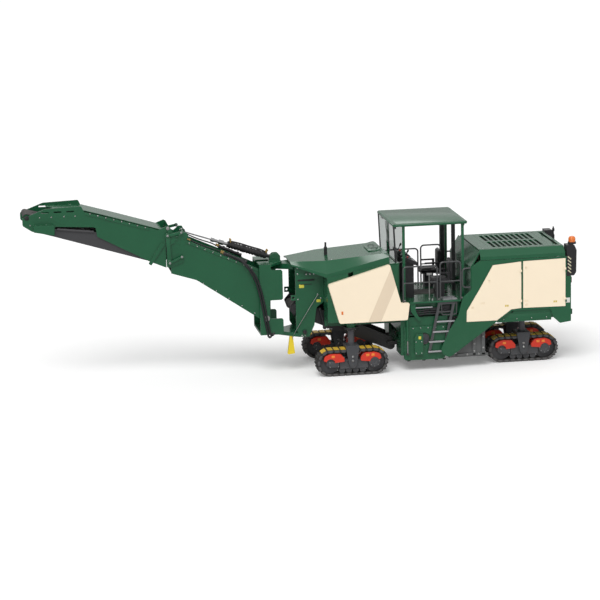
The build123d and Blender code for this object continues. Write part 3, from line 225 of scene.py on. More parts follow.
def choose(*pieces):
    """Select these pieces and no others, with the first one active."""
    bpy.ops.object.select_all(action="DESELECT")
    for piece in pieces:
        piece.select_set(True)
    bpy.context.view_layer.objects.active = pieces[0]


def pick_faces(piece, wanted):
    """Go into edit mode with only the faces selected that are wanted by centre and normal."""
    bpy.ops.object.mode_set(mode="EDIT")
    bpy.ops.mesh.select_mode(type="FACE")
    bpy.ops.mesh.select_all(action="DESELECT")
    bpy.ops.object.mode_set(mode="OBJECT")
    for face in piece.data.polygons:
        face.select = wanted(face.center, face.normal)
    bpy.ops.object.mode_set(mode="EDIT")


def top_faces(centre, normal):
    return normal.z > 0.9


def plate(one, other, broken=0.004):
    """A piece of plate between two opposite corners, its edges broken with a file."""
    low, high = (Vector(corner) for corner in zip(*(sorted(ends) for ends in zip(one, other))))
    bpy.ops.object.select_all(action="DESELECT")
    bpy.ops.mesh.primitive_cube_add(size=1, location=(low + high) / 2, scale=high - low)
    bpy.ops.object.transform_apply(location=True, rotation=True, scale=True)
    bpy.ops.object.mode_set(mode="EDIT")
    bpy.ops.mesh.select_all(action="SELECT")
    bpy.ops.mesh.bevel(offset=broken, segments=2)
    bpy.ops.object.mode_set(mode="OBJECT")
    return bpy.context.object


def turned(profile, sides=32, hollow=False):
    """A piece turned on a lathe, upright on the origin: radii and heights from end to end.
    A hollow one is a ring, and its outline closes on itself."""
    radius, height = profile[0]
    bpy.ops.object.select_all(action="DESELECT")
    bpy.ops.mesh.primitive_circle_add(
        vertices=sides, radius=radius, fill_type="NOTHING" if hollow else "NGON", location=(0, 0, height)
    )
    bpy.ops.object.transform_apply(location=True, rotation=True, scale=True)
    bpy.ops.object.mode_set(mode="EDIT")
    bpy.ops.mesh.select_mode(type="VERT")
    bpy.ops.mesh.select_all(action="SELECT")
    for next_radius, next_height in profile[1:] + (profile[:1] if hollow else []):
        rise = (0, 0, next_height - height)
        bpy.ops.mesh.extrude_region_move(TRANSFORM_OT_translate={"value": rise})
        share = next_radius / radius
        bpy.ops.transform.resize(value=(share, share, 1), center_override=(0, 0, next_height))
        radius, height = next_radius, next_height
    bpy.ops.mesh.select_all(action="SELECT")
    bpy.ops.mesh.remove_doubles(threshold=0.00002)
    bpy.ops.mesh.normals_make_consistent(inside=False)
    bpy.ops.object.mode_set(mode="OBJECT")
    return bpy.context.object


def shifted(*offset):
    return Matrix.Translation(Vector(offset))


def facing(point, direction, turn=0.0):
    """The place of a piece modelled upright, stood at a point to look along a direction."""
    look = Vector(direction).to_track_quat("Z", "Y").to_matrix().to_4x4()
    return Matrix.Translation(Vector(point)) @ look @ Matrix.Rotation(turn, 4, "Z")


def joined(*made):
    """Several pieces held together as one, with their places put in its mesh."""
    choose(*made)
    bpy.ops.object.transform_apply(location=True, rotation=True, scale=True)
    if len(made) > 1:
        bpy.ops.object.join()
    return bpy.context.object


def copies(model, places, keep=False):
    """Copies of a modelled piece, each with its own mesh, set out and held as one piece."""
    made = []
    for place in places:
        copy = model.copy()
        copy.data = model.data.copy()
        bpy.context.scene.collection.objects.link(copy)
        copy.matrix_world = place
        made.append(copy)
    if not keep:
        bpy.data.objects.remove(model)
    return joined(*made)


def fit(piece, name, material, body="chassis"):
    """Name a finished piece, give it its finish and fix it to the body that carries it."""
    piece.name = piece.data.name = name
    piece.data.materials.clear()
    piece.data.materials.append(material)
    choose(piece)
    bpy.ops.object.shade_smooth_by_angle(angle=radians(35))
    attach(piece, body)
    return piece


CORNERS = ("front_left", "front_right", "rear_left", "rear_right")

track_rubber = finish(
    "track_rubber", (0.022, 0.022, 0.024), 0.62, wear=0.25,
    under=(0.10, 0.10, 0.10, 1), dust=0.16, reach=0.9, grain=240.0, bump=0.25,
)
track_grey = finish(
    "track_grey", (0.050, 0.053, 0.060), 0.42, coat=0.1, dust=0.12, reach=1.0
)
guard_red = finish(
    "guard_red", (0.66, 0.030, 0.010), 0.34, coat=0.2, dust=0.03, reach=0.7
)
pad_yellow = finish(
    "pad_yellow", (0.74, 0.47, 0.03), 0.5, wear=0.5, under=(0.05, 0.045, 0.04, 1),
    dust=0.12, reach=1.4, drift=0.3, edge=0.008,
)
# Orange of the painted highlights on the red guards.
guard_highlight_orange = finish("guard_highlight_orange", (0.86, 0.24, 0.03), 0.36, coat=0.2, dust=0.03)
bolt_zinc = finish("bolt_zinc", (0.55, 0.55, 0.54), 0.3, metal=0.9, wear=0.1, dust=0.1)
for corner in CORNERS:
    dress(track_rubber, "track_belt_" + corner)
    dress(track_grey, "undercarriage_" + corner)
    dress(guard_red, "track_guards_" + corner)

track_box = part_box("track_belt_front_left")
TRACK_R = track_box[1].z / 2
TRACK_RUN = track_box[1].x - track_box[0].x - 2 * TRACK_R
SHOES = 26
SHOE_PITCH = (2 * TRACK_RUN + 2 * pi * TRACK_R) / SHOES
TRACK_HALF = (track_box[1].y - track_box[0].y) / 2
END_FROM_Z, PAD_FROM_Z = 0.09, 0.60


def on_track(along):
    """The place of something on the track's outer face, a distance along it, with its own
    upright axis pointing out of the loop. The ground run's rear end is the start."""
    bend = pi * TRACK_R
    if along < TRACK_RUN:
        return shifted(along - TRACK_RUN / 2, 0, 0) @ Matrix.Rotation(pi, 4, "Y")
    if TRACK_RUN + bend <= along < 2 * TRACK_RUN + bend:
        return shifted(TRACK_RUN / 2 - (along - TRACK_RUN - bend), 0, 2 * TRACK_R)
    if along < TRACK_RUN + bend:
        end, out = TRACK_RUN / 2, pi - (along - TRACK_RUN) / TRACK_R
    else:
        end, out = -TRACK_RUN / 2, -(along - 2 * TRACK_RUN - bend) / TRACK_R
    return shifted(end, 0, TRACK_R) @ Matrix.Rotation(out, 4, "Y") @ shifted(0, 0, TRACK_R)


def to_corners(model, name, material):
    """A copy of a piece on each of the four tracks."""
    for corner in CORNERS:
        low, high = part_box("track_belt_" + corner)
        piece = copies(model, [shifted((low.x + high.x) / 2, (low.y + high.y) / 2, 0)], keep=True)
        fit(piece, f"{name}_{corner}", material, "track_" + corner)
    bpy.data.objects.remove(model)


shoe_places = [on_track(index * SHOE_PITCH) for index in range(SHOES)]
lug = plate((-0.054, TRACK_HALF - 0.004, -0.068), (0.054, TRACK_HALF + 0.015, -0.005), 0.006)
pick_faces(lug, lambda centre, normal: normal.z < -0.9)
bpy.ops.transform.resize(value=(0.45, 1, 1), center_override=(0, 0, -0.068))
bpy.ops.object.mode_set(mode="OBJECT")
far_lug = copies(lug, [Matrix.Rotation(pi, 4, "Z")], keep=True)
shoe_lugs = joined(lug, far_lug)
lug_grey = finish("lug_grey", (0.060, 0.060, 0.064), 0.5, wear=0.5, dust=0.2, reach=0.9)
to_corners(copies(shoe_lugs, shoe_places), "shoe_lugs", lug_grey)

grouser = plate((-0.058, -0.175, -0.004), (-0.018, 0.175, 0.022), 0.005)
grouser_pair = copies(grouser, [shifted(0, 0, 0), shifted(0.075, 0, 0)])
end_places = [place for place in shoe_places if END_FROM_Z < place.translation.z < PAD_FROM_Z]
to_corners(copies(grouser_pair, end_places), "grousers", track_rubber)

pad = plate((-0.068, -0.150, -0.003), (0.068, 0.150, 0.013), 0.005)
pick_faces(pad, top_faces)
bpy.ops.mesh.inset(thickness=0.014)
bpy.ops.transform.translate(value=(0, 0, -0.004))
bpy.ops.object.mode_set(mode="OBJECT")
high_places = [place for place in shoe_places if place.translation.z >= PAD_FROM_Z]
to_corners(copies(pad, high_places), "top_pads", pad_yellow)

# The drive motor's round cover and the idler's slide, bolted to the outside of the frame.
hub_cover = turned([
    (0.150, 0.0), (0.158, 0.008), (0.158, 0.026), (0.150, 0.034), (0.112, 0.036),
    (0.104, 0.044), (0.060, 0.044), (0.054, 0.038), (0.020, 0.038),
])
hub_places = [facing((-TRACK_RUN / 2, side * 0.149, TRACK_R), (0, side, 0)) for side in (-1, 1)]
hub_covers = copies(hub_cover, hub_places)
slides = []
for side in (-1, 1):
    slides.append(plate((0.345, side * 0.094, 0.225), (0.625, side * 0.168, 0.385), 0.012))
    slides.append(plate((-0.415, side * 0.094, 0.175), (0.335, side * 0.160, 0.415), 0.014))
for panel in slides:
    pick_faces(panel, lambda centre, normal: abs(normal.y) > 0.9 and abs(centre.y) > 0.15)
    bpy.ops.mesh.inset(thickness=0.022)
    bpy.ops.mesh.inset(thickness=0.006, depth=-0.006)
    bpy.ops.object.mode_set(mode="OBJECT")
to_corners(joined(hub_covers, *slides), "frame_covers", track_grey)


def bolt(size):
    """A hexagon bolt's head on its washer, upright on the origin."""
    return turned(
        [(1.3 * size, 0), (1.3 * size, 0.2 * size), (size, 0.2 * size), (size, 0.75 * size),
         (0.8 * size, 0.9 * size)], sides=6,
    )


HUB_BOLTS = 8
bolt_places = []
for side in (-1, 1):
    for z in (0.40, 0.505):
        bolt_places.append(facing((0, side * 0.238, z), (0, side, 0)))
    for x in (0.375, 0.595):
        for z in (0.25, 0.36):
            bolt_places.append(facing((x, side * 0.167, z), (0, side, 0)) @ Matrix.Scale(0.5, 4))
    for index in range(HUB_BOLTS):
        turn = index * 2 * pi / HUB_BOLTS
        spot = Vector((0.128 * cos(turn), 0, 0.128 * sin(turn)))
        spot += Vector((-TRACK_RUN / 2, side * 0.183, TRACK_R))
        bolt_places.append(facing(spot, (0, side, 0)) @ Matrix.Scale(0.4, 4))
to_corners(copies(bolt(0.024), bolt_places), "track_bolts", bolt_zinc)

# Small orange plates on the red guards: painted highlights where the guards catch the light.
marks = []
for side in (-1, 1):
    for x in (-0.58, -0.44, 0.47):
        marks.append(plate((x, side * 0.1945, 0.492), (x + 0.085, side * 0.1985, 0.555), 0.0015))
to_corners(joined(*marks), "guard_highlights", guard_highlight_orange)

# ---- lifting columns ------------------------------------------------------------------
# Ground tubes painted satin grey. A black sealing collar is bolted under each sleeve's
# flange, where the column comes out of it. Its black is also painted shade for the dark
# band under the fenders.

column_grey = finish("column_grey", (0.085, 0.085, 0.095), 0.34, metal=0.3, coat=0.1, wear=0.2)
black_satin = finish(
    "black_satin", (0.018, 0.018, 0.020), 0.38, coat=0.1, wear=0.2, dust=0.15
)


def set_out(name, material, profile, places, body="chassis", **shape):
    """A turned piece of one profile, set out in its places and fixed as one."""
    fit(copies(turned(profile, **shape), places), name, material, body)


def bolts(name, size, places, body="chassis"):
    """Bolt heads of one size, set out as one piece."""
    fit(copies(bolt(size), places), name, bolt_zinc, body)


COLLAR_BOLTS = 8
collar_outline = [
    (0.176, 1.262), (0.182, 1.256), (0.182, 1.206), (0.174, 1.198), (0.134, 1.196),
    (0.128, 1.180), (0.100, 1.180), (0.100, 1.2145), (0.1665, 1.2145), (0.1665, 1.262),
]
for corner in CORNERS:
    dress(column_grey, "lift_leg_" + corner)
    low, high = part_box("lift_leg_" + corner)
    x, y = (low.x + high.x) / 2, (low.y + high.y) / 2
    # Black collar: partly painted shade for the dark band under the fender.
    set_out("column_shade_collar_" + corner, black_satin, collar_outline, [shifted(x, y, 0)], hollow=True)
    ring = []
    for index in range(COLLAR_BOLTS):
        turn = index * 2 * pi / COLLAR_BOLTS
        spot = (x + 0.150 * cos(turn), y + 0.150 * sin(turn), 1.1965)
        ring.append(facing(spot, (0, 0, -1)))
    bolts("collar_bolts_" + corner, 0.011, ring)

# ---- main frame and drum housing ------------------------------------------------------
# Welded steel plate, sprayed with two coats of deep green gloss paint. Black blocks and
# hoses fill the recess between the housing and the deck. They are painted shade: dark
# pieces put there to stand in for the recess's shadow.

SIDES = ((1, "left"), (-1, "right"))
green_gloss = finish(
    "green_gloss", (0.010, 0.098, 0.041), 0.24, coat=0.32, wear=0.35, dust=0.04,
    reach=1.6,
)
dress(green_gloss, "main_frame", "drum_housing")


def wire(name, points, radius, smooth, round_steps):
    """A round bar bent to a smooth line through a route."""
    line = bpy.data.curves.new(name, "CURVE")
    line.dimensions = "3D"
    run = line.splines.new("NURBS")
    run.points.add(len(points) - 1)
    for place, point in zip(run.points, points):
        place.co = (*point, 1)
    run.order_u = 3
    run.use_endpoint_u = True
    line.resolution_u = smooth
    line.bevel_depth = radius
    line.bevel_resolution = round_steps
    made = bpy.data.objects.new(name, line)
    bpy.context.scene.collection.objects.link(made)
    return made


def strand(name, points, radius, material, body="chassis"):
    """A hose, pipe or cable that is as thick as it is. Without a body it is left free."""
    made = wire(name, points, radius, 8, 3)
    made.data.use_fill_caps = True
    made.data.materials.append(material)
    if body:
        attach(made, body)
    return made


def on_side(side, *points):
    """Points of a route, with y measured to one side of the machine."""
    return [at(x, side * y, z) for x, y, z in points]


hose_rubber = finish(
    "hose_rubber", (0.016, 0.016, 0.018), 0.45, wear=0.0, dust=0.12, grain=500.0,
    bump=0.15,
)
# Painted shade: black blocks and hoses that darken the recess where its shadow falls.
RECESS_SHADE_BLOCKS = (
    # first and last x, outer face, lowest and highest z
    (0.05, 0.24, 1.150, 1.495, 1.660), (0.28, 0.40, 1.140, 1.495, 1.600),
    (-0.30, -0.06, 1.135, 1.490, 1.700), (0.84, 0.98, 1.140, 1.490, 1.760),
)
for side, word in SIDES:
    blocks = [
        plate(at(first, side * 1.108, low), at(last, side * face, high), 0.01)
        for first, last, face, low, high in RECESS_SHADE_BLOCKS
    ]
    fit(joined(*blocks), "recess_shade_blocks_" + word, black_satin)
    for number, (z, y) in enumerate(((1.490, 1.165), (1.545, 1.175), (1.600, 1.160))):
        route = on_side(
            side, (1.00, 1.12, z + 0.10), (0.82, y, z + 0.05), (0.55, y, z - 0.02),
            (0.30, y, z + 0.03), (0.05, y + 0.01, z), (-0.18, 1.13, z + 0.04),
        )
        strand(f"recess_shade_hose_{word}_{number}", route, 0.017, hose_rubber)

# ---- milling drum ---------------------------------------------------------------------
# A rolled steel shell with welded tool holders, worn bright by the millings. Each holder
# carries a steel pick with a brazed carbide tip, pressed in and changed on site.

drum_steel = finish(
    "drum_steel", (0.23, 0.20, 0.18), 0.48, metal=0.8, wear=0.7, under=(0.5, 0.48, 0.46, 1),
    dust=0.5, drift=0.9, grain=60.0, bump=0.3,
)
carbide = finish("carbide", (0.42, 0.40, 0.38), 0.3, metal=1.0, wear=0.0, dust=0.2)
dress(drum_steel, "milling_drum")
DRUM = at(0.400, 0, 0.830)
PICK_ROWS, PICK_SPAN, HELIX_TURN = 18, 1.940, 720
TIP_AHEAD, TIP_OUT, TIP_LEAN = 0.0560, 0.4800, radians(45)
tip_places = []
for index in range(PICK_ROWS):
    share = (index + 0.5) / PICK_ROWS
    y = (share - 0.5) * PICK_SPAN
    for start in (0, 180):
        turn = radians(start + abs(share - 0.5) * HELIX_TURN)
        spin = Matrix.Translation(DRUM + Vector((0, y, 0))) @ Matrix.Rotation(turn, 4, "Y")
        out = shifted(TIP_AHEAD, 0, TIP_OUT) @ Matrix.Rotation(TIP_LEAN, 4, "Y")
        tip_places.append(spin @ out)
tip = [(0.006, -0.010), (0.013, -0.008), (0.014, 0.0), (0.009, 0.008), (0.003, 0.014)]
set_out("pick_tips", carbide, tip, tip_places, "drum", sides=10)
gear_cap = [
    (0.127, 0), (0.130, 0.002), (0.130, 0.004), (0.100, 0.0045), (0.095, 0.006), (0.030, 0.0062)
]
cap_places = [facing(DRUM + Vector((0, side * 1.1060, 0)), (0, side, 0)) for side in (-1, 1)]
set_out("gear_caps", track_grey, gear_cap, cap_places, "drum")

# ---- edge plates ----------------------------------------------------------------------
# Plates that slide up and down at the drum's ends. Each has wear blocks under its skid, a
# chromed guide rod in a clamp and a tube, and a blank data plate on its cylinder's box.

label_yellow = finish(
    "label_yellow", (0.62, 0.58, 0.06), 0.4, wear=0.1, dust=0.05, drift=0.05
)
rod_chrome = finish(
    "rod_chrome", (0.62, 0.62, 0.63), 0.16, metal=1.0, wear=0.0, dust=0.05, bump=0.01
)


def outward(side, y, *spots):
    """Places on one side of the machine, given by x and z, that look away from it."""
    return [facing(at(x, side * y, z), (0, side, 0)) for x, z in spots]


for side, word in SIDES:
    body = "edge_plate_" + word
    dress(green_gloss, body)
    feet = [
        plate(at(x, side * 1.120, 0.262), at(x + 0.085, side * 1.158, 0.293), 0.006)
        for x in (-0.16, 0.05, 0.38, 0.78)
    ]
    fit(joined(*feet), "wear_blocks_" + word, black_satin, body)
    guide = [(0.014, 0), (0.018, 0.004), (0.018, 0.416), (0.014, 0.420)]
    place = shifted(*at(0.865, side * 1.214, 0.480))
    set_out("guide_rod_" + word, rod_chrome, guide, [place], body, sides=20)
    clamp = plate(at(0.830, side * 1.170, 0.450), at(0.900, side * 1.240, 0.500), 0.008)
    fit(clamp, "guide_clamp_" + word, black_satin, body)
    tube = turned([
        (0.022, 0), (0.030, 0.006), (0.030, 0.030), (0.027, 0.034), (0.027, 0.545), (0.020, 0.549)
    ])
    tube = copies(tube, [shifted(*at(0.865, side * 1.214, 0.820))])
    flange = plate(at(0.835, side * 1.184, 1.366), at(0.975, side * 1.244, 1.3915), 0.005)
    fit(joined(tube, flange), "guide_tube_" + word, green_gloss)
    card = plate(at(0.505, side * 1.2145, 0.850), at(0.575, side * 1.2175, 0.930), 0.001)
    fit(card, "data_plate_" + word, label_yellow, body)
    heads = outward(side, 1.142, *[(x, 1.130) for x in (-0.10, 0.10, 0.30, 0.50, 0.70)])
    heads += outward(side, 1.2145, (0.49, 0.48), (0.49, 0.78), (0.64, 0.48), (0.64, 0.78))
    bolts("edge_bolts_" + word, 0.013, heads, body)

# ---- scraper ----------------------------------------------------------------------------
# A mouldboard of thick grey plate closes the housing behind the drum. It has a bolted
# cutting edge and posts at both ends, and cylinders lift it.

scraper_grey = finish("scraper_grey", (0.105, 0.11, 0.112), 0.45, coat=0.1, dust=0.12)
dress(scraper_grey, "scraper")
SCRAPER_POSTS = (
    # first and last x, lowest and highest z
    (-1.228, -1.130, 0.310, 0.990), (-0.985, -0.890, 0.310, 0.870), (-1.228, -0.480, 0.300, 0.375),
)
for side, word in SIDES:
    posts = [
        plate(at(first, side * 1.0530, low), at(last, side * 1.0880, high), 0.01)
        for first, last, low, high in SCRAPER_POSTS
    ]
    fit(joined(*posts), "scraper_posts_" + word, scraper_grey, "scraper")
    heads = outward(
        side, 1.087, (-1.18, 0.50), (-1.18, 0.80), (-0.94, 0.62), (-0.94, 0.42), (-0.75, 0.338),
        (-1.06, 0.338),
    )
    bolts("scraper_bolts_" + word, 0.020, heads, "scraper")

# ---- engine bay, doors and hood ---------------------------------------------------------
# Panels pressed from thin sheet. The doors are sprayed cream and hang on pins. The engine
# and cooler behind the louvres are dark iron.

BODY_FACE = 1.25
CREAM = (0.975, 0.835, 0.635)
cream_gloss = finish(
    "cream_gloss", CREAM, 0.34, coat=0.2, wear=0.15, dust=0.03, drift=0.05
)
engine_iron = finish("engine_iron", (0.10, 0.10, 0.10), 0.55, metal=0.4, dust=0.3)
mesh_black = finish("mesh_black", (0.012, 0.012, 0.013), 0.6, wear=0.0, dust=0.3)
label_blank = finish(
    "label_blank", (0.70, 0.70, 0.66), 0.4, wear=0.0, dust=0.02, drift=0.03
)
label_amber = finish(
    "label_amber", (0.66, 0.50, 0.10), 0.4, wear=0.0, dust=0.02, drift=0.05
)
dress(engine_iron, "engine_block")
dress(green_gloss, "engine_bay_walls", "engine_hood", "side_panels", "front_tanks")
dress(cream_gloss, "door_front_left", "door_front_right", "door_rear_left", "door_rear_right")
DOORS = (
    # which one, x and z of its label, x and z of each latch
    ("front", -1.774, 1.620, ((-0.86, 1.62), (-1.31, 2.30))),
    ("rear", -3.074, 1.664, ((-2.30, 1.62), (-2.30, 2.60))),
)


def skinned(side, x, z, wide, high, face=BODY_FACE, thick=0.002):
    """A thin upright plate on a face of the body that looks to one side."""
    low = at(x - wide / 2, side * (face - 0.003), z - high / 2)
    return plate(low, at(x + wide / 2, side * (face + thick), z + high / 2), 0.0012)


for side, word in SIDES:
    for door, x, z, grips in DOORS:
        body = f"door_{door}_{word}"
        squares = [skinned(side, x + shift, z, 0.042, 0.050) for shift in (-0.027, 0.027)]
        fit(joined(*squares), f"label_{body}", label_amber, body)
        bezel = turned([
            (0.034, 0), (0.034, 0.006), (0.030, 0.009), (0.026, 0.008), (0.024, 0.002), (0.010, 0.002)
        ])
        latch = copies(bezel, outward(side, 1.249, *grips))
        pulls = [
            plate(at(u - 0.005, side * 1.2495, v - 0.024), at(u + 0.005, side * 1.258, v + 0.024), 0.002)
            for u, v in grips
        ]
        fit(joined(latch, *pulls), f"latch_{body}", cream_gloss, body)
    fit(skinned(side, -3.422, 1.68, 0.10, 0.13), "rear_plate_" + word, label_blank)

# Dark mesh behind the hood's air slots, near black on a solid backing as painted shade for
# the engine bay under them, raised seams, and two lifting grips at the rear.
MESH_Z, MESH_ROWS = 3.052, 58
mesh_panels = []
for side in (-1, 1):
    first, last = side * 0.045, side * 0.850
    mesh_panels.append(plate(at(-2.900, first, MESH_Z), at(-1.480, last, MESH_Z + 0.006), 0.002))
    for row in range(MESH_ROWS):
        x = -2.890 + row * 0.0244
        wire_end = at(x + 0.006, last, MESH_Z + 0.012)
        mesh_panels.append(plate(at(x, first, MESH_Z + 0.005), wire_end, 0.001))
fit(joined(*mesh_panels), "hood_mesh_shade", mesh_black, "hood")
HOOD_SEAMS = (
    # x and y of one corner, x and y of the other, top
    (-3.335, -1.02, -1.10, -0.995, 3.1130), (-3.335, 0.995, -1.10, 1.02, 3.1130),
    (-3.335, -1.0, -3.300, 1.0, 3.1135), (-1.430, -1.0, -1.405, 1.0, 3.1130),
    (-3.020, -1.0, -2.995, 1.0, 3.1130),
)
seams = [plate(at(x, y, 3.1090), at(u, v, top), 0.0015) for x, y, u, v, top in HOOD_SEAMS]
fit(joined(*seams), "hood_seams", green_gloss, "hood")
UP = (0, 0, 1)
heads = [
    facing(at(x, y, 3.1125), UP) for x in (-3.26, -2.75, -2.2, -1.65, -1.2) for y in (-1.007, 1.007)
]
bolts("hood_bolts", 0.012, heads, "hood")


def to_mesh(line):
    """A curve made into a mesh."""
    choose(line)
    bpy.ops.object.convert(target="MESH")
    return bpy.context.object


def grip(across, reach, thick):
    """A bent-rod handle, standing on the origin along x."""
    half, bend = across / 2, across / 2 - reach * 0.5
    route = [
        (-half, 0, 0), (-half, 0, reach * 0.6), (-half, 0, reach), (-bend, 0, reach),
        (bend, 0, reach), (half, 0, reach), (half, 0, reach * 0.6), (half, 0, 0),
    ]
    return to_mesh(wire("grip", route, thick, 3, 2))


spots = [facing(at(-3.20, y, 3.111), UP, pi / 2) for y in (-0.55, 0.55)]
fit(copies(grip(0.16, 0.045, 0.008), spots), "hood_grips", black_satin, "hood")

# A folded sill plate hangs from the floor's edge on both sides, behind the doors' lower rim.
for side, word in SIDES:
    inner, outer = side * 1.180, side * 1.2085
    sill = plate(at(-2.980, inner, 1.180), at(-1.520, outer, 1.3995), 0.003)
    pick_faces(sill, top_faces)
    bpy.ops.transform.resize(value=(0.81, 1, 1), center_override=at(-2.980, 0, 1.3995))
    bpy.ops.object.mode_set(mode="OBJECT")
    step = plate(at(-3.070, inner, 1.235), at(-2.970, outer, 1.3995), 0.003)
    lip = plate(at(-2.970, side * 1.145, 1.174), at(-1.535, outer, 1.184), 0.003)
    strip = plate(at(-3.070, side * 1.2105, 1.385), at(-1.945, side * 1.2145, 1.488), 0.0012)
    fit(joined(sill, step, lip, strip), "rear_sill_" + word, green_gloss)
    heads = outward(side, 1.2085, *[(x, 1.250) for x in (-2.85, -2.45, -2.05, -1.70)])
    bolts("sill_bolts_" + word, 0.012, heads)

# ---- front body -------------------------------------------------------------------------
# Fenders of pressed sheet over the front tracks, sprayed cream with one slanting band a
# shade darker. The folded green cover over the tanks lifts off by its two handles.

TOWER_FACE, TOWER_SEAT = 0.575, 0.574


def diagonal_band(tree, shown):
    """One slanting band masked and sprayed a shade darker over the cream."""
    place = node(tree, "ShaderNodeTexCoord").outputs["Object"]
    parts = node(tree, "ShaderNodeSeparateXYZ", Vector=place).outputs
    along = sums(tree, "ADD", parts["X"], sums(tree, "MULTIPLY", parts["Z"], 0.444))
    past = sums(tree, "GREATER_THAN", along, MIDDLE + 2.18)
    short = sums(tree, "LESS_THAN", along, MIDDLE + 2.52)
    return mixed(tree, sums(tree, "MULTIPLY", past, short), shown, (0.80, 0.66, 0.49, 1))


fender_cream = finish(
    "fender_cream", CREAM, 0.34, coat=0.2, wear=0.15, dust=0.03, drift=0.05, pattern=diagonal_band
)
marker_orange = finish(
    "marker_orange", (0.80, 0.20, 0.03), 0.3, coat=0.3, wear=0.0, dust=0.03
)
dress(fender_cream, "fenders")
dress(green_gloss, "front_cover", "front_tower")
for side, word in SIDES:
    mark = skinned(side, 2.578, 1.67, 0.050, 0.085, thick=0.004)
    fit(mark, "fender_mark_" + word, marker_orange)
    mark = skinned(side, 3.519, 2.295, 0.13, 0.09, TOWER_FACE)
    card = skinned(side, 3.08, 1.886, 0.11, 0.07, TOWER_FACE)
    fit(joined(mark, card), "tower_labels_" + word, label_yellow)
    lamp = plate(at(1.315, side * 1.128, 2.780), at(1.375, side * 1.160, 2.850), 0.012)
    fit(lamp, "side_marker_" + word, marker_orange)

# The nose of the tower carries two air slots, drawn as black plates on its face that are
# painted shade for the openings, a guide roller, the unions of the slewing hoses and bolts
# with washers.
for side, word in SIDES:
    dark = [
        skinned(side, 3.40, z, wide, high, TOWER_FACE)
        for z, wide, high in ((2.450, 0.44, 0.045), (2.340, 0.30, 0.020))
    ]
    fit(joined(*dark), "tower_slot_shade_" + word, mesh_black)
    roller = [
        (0.020, 0), (0.020, 0.012), (0.050, 0.014), (0.054, 0.020), (0.054, 0.060), (0.050, 0.066),
        (0.018, 0.066), (0.016, 0.074),
    ]
    set_out("guide_roller_" + word, black_satin, roller, outward(side, TOWER_SEAT, (3.464, 1.085)))
    hose_end = [
        (0.022, 0), (0.022, 0.020), (0.016, 0.024), (0.016, 0.050), (0.024, 0.052), (0.024, 0.075),
        (0.014, 0.080),
    ]
    spots = outward(side, TOWER_SEAT, (3.20, 2.62), (3.30, 2.62), (3.40, 2.62))
    spots += [facing(at(3.60, side * 0.30, 2.849), UP), facing(at(3.50, side * 0.36, 2.849), UP)]
    set_out("hose_unions_" + word, rod_chrome, hose_end, spots, sides=6)
    spots = [(x, z) for x in (3.02, 3.62) for z in (2.78, 2.62, 1.95)] + [(3.45, 0.985), (3.53, 0.985)]
    bolts("tower_bolts_" + word, 0.018, outward(side, TOWER_SEAT, *spots))

# Black struts hang from the nose on both sides and carry the loading conveyor.
NOSE_STRUTS = (
    # x and z of the head, x and z of the foot
    (3.055, 1.700, 2.935, 1.150), (2.800, 1.420, 2.850, 1.160),
)
for side, word in SIDES:
    struts = []
    for head_x, head_z, x, z in NOSE_STRUTS:
        foot = at(x, side * 0.590, z)
        run = at(head_x, side * 0.590, head_z) - foot
        long = run.length
        bar = turned([
            (0.020, 0), (0.034, 0.010), (0.034, 0.060), (0.024, 0.070), (0.024, long - 0.07),
            (0.034, long - 0.06), (0.034, long - 0.01), (0.020, long),
        ])
        struts.append(copies(bar, [facing(foot, run)]))
        low = at(x - 0.035, side * 0.470, z - 0.02)
        struts.append(plate(low, at(x + 0.035, side * 0.630, z + 0.06), 0.01))
    wheel = turned([(0.055, 0), (0.066, 0.008), (0.066, 0.034), (0.055, 0.042), (0.022, 0.044)])
    struts.append(copies(wheel, outward(side, 0.585, (2.845, 1.440))))
    fit(joined(*struts), "nose_struts_" + word, black_satin)

# Over the tanks: a round-cornered hatch and the bolts of the cover.
COVER_REAR, COVER_LONG, COVER_TOP, COVER_FALL = 1.300, 1.640, 3.100, 0.120


def on_cover(x, y, lift):
    """A place that looks up from the cover's flat top, which falls towards the nose."""
    share = (x - COVER_REAR) / COVER_LONG
    return facing(at(x, y, COVER_TOP - COVER_FALL * share + lift), UP)


fit(plate(at(1.36, -0.34, 3.080), at(1.70, 0.34, 3.101), 0.008), "cover_hatch", green_gloss)
spots = [on_cover(1.53, y, 0.016) for y in (-0.22, 0.22)]
fit(copies(grip(0.14, 0.04, 0.007), spots), "hatch_grips", black_satin)
heads = [on_cover(x, y, -0.002) for x in (1.42, 2.05, 2.75) for y in (-0.76, 0.76)]
bolts("cover_bolts", 0.013, heads)

# ---- conveyors --------------------------------------------------------------------------
# Two belts in welded troughs: one carries the millings up through the front, the other
# throws them into a truck. The belts are black rubber with moulded cleats.

belt_rubber = finish(
    "belt_rubber", (0.022, 0.022, 0.023), 0.7, wear=0.0, dust=0.3, reach=6.0,
    grain=300.0, bump=0.3,
)
tray_grey = finish("tray_grey", (0.050, 0.050, 0.054), 0.42, coat=0.05, wear=0.2, dust=0.1)
brass = finish("brass", (0.60, 0.42, 0.16), 0.3, metal=0.9, wear=0.0, dust=0.05)
dress(black_satin, "loading_frame", "luff_barrel")
dress(belt_rubber, "loading_belt", "conveyor_inner_belt", "conveyor_outer_belt")
dress(green_gloss, "swivel_frame", "conveyor_inner_frame", "conveyor_outer_frame", "conveyor_cover")
dress(tray_grey, "conveyor_tray")
dress(rod_chrome, "luff_rod")
CLEAT_PITCH, CLEAT_REACH = 0.30, 0.36


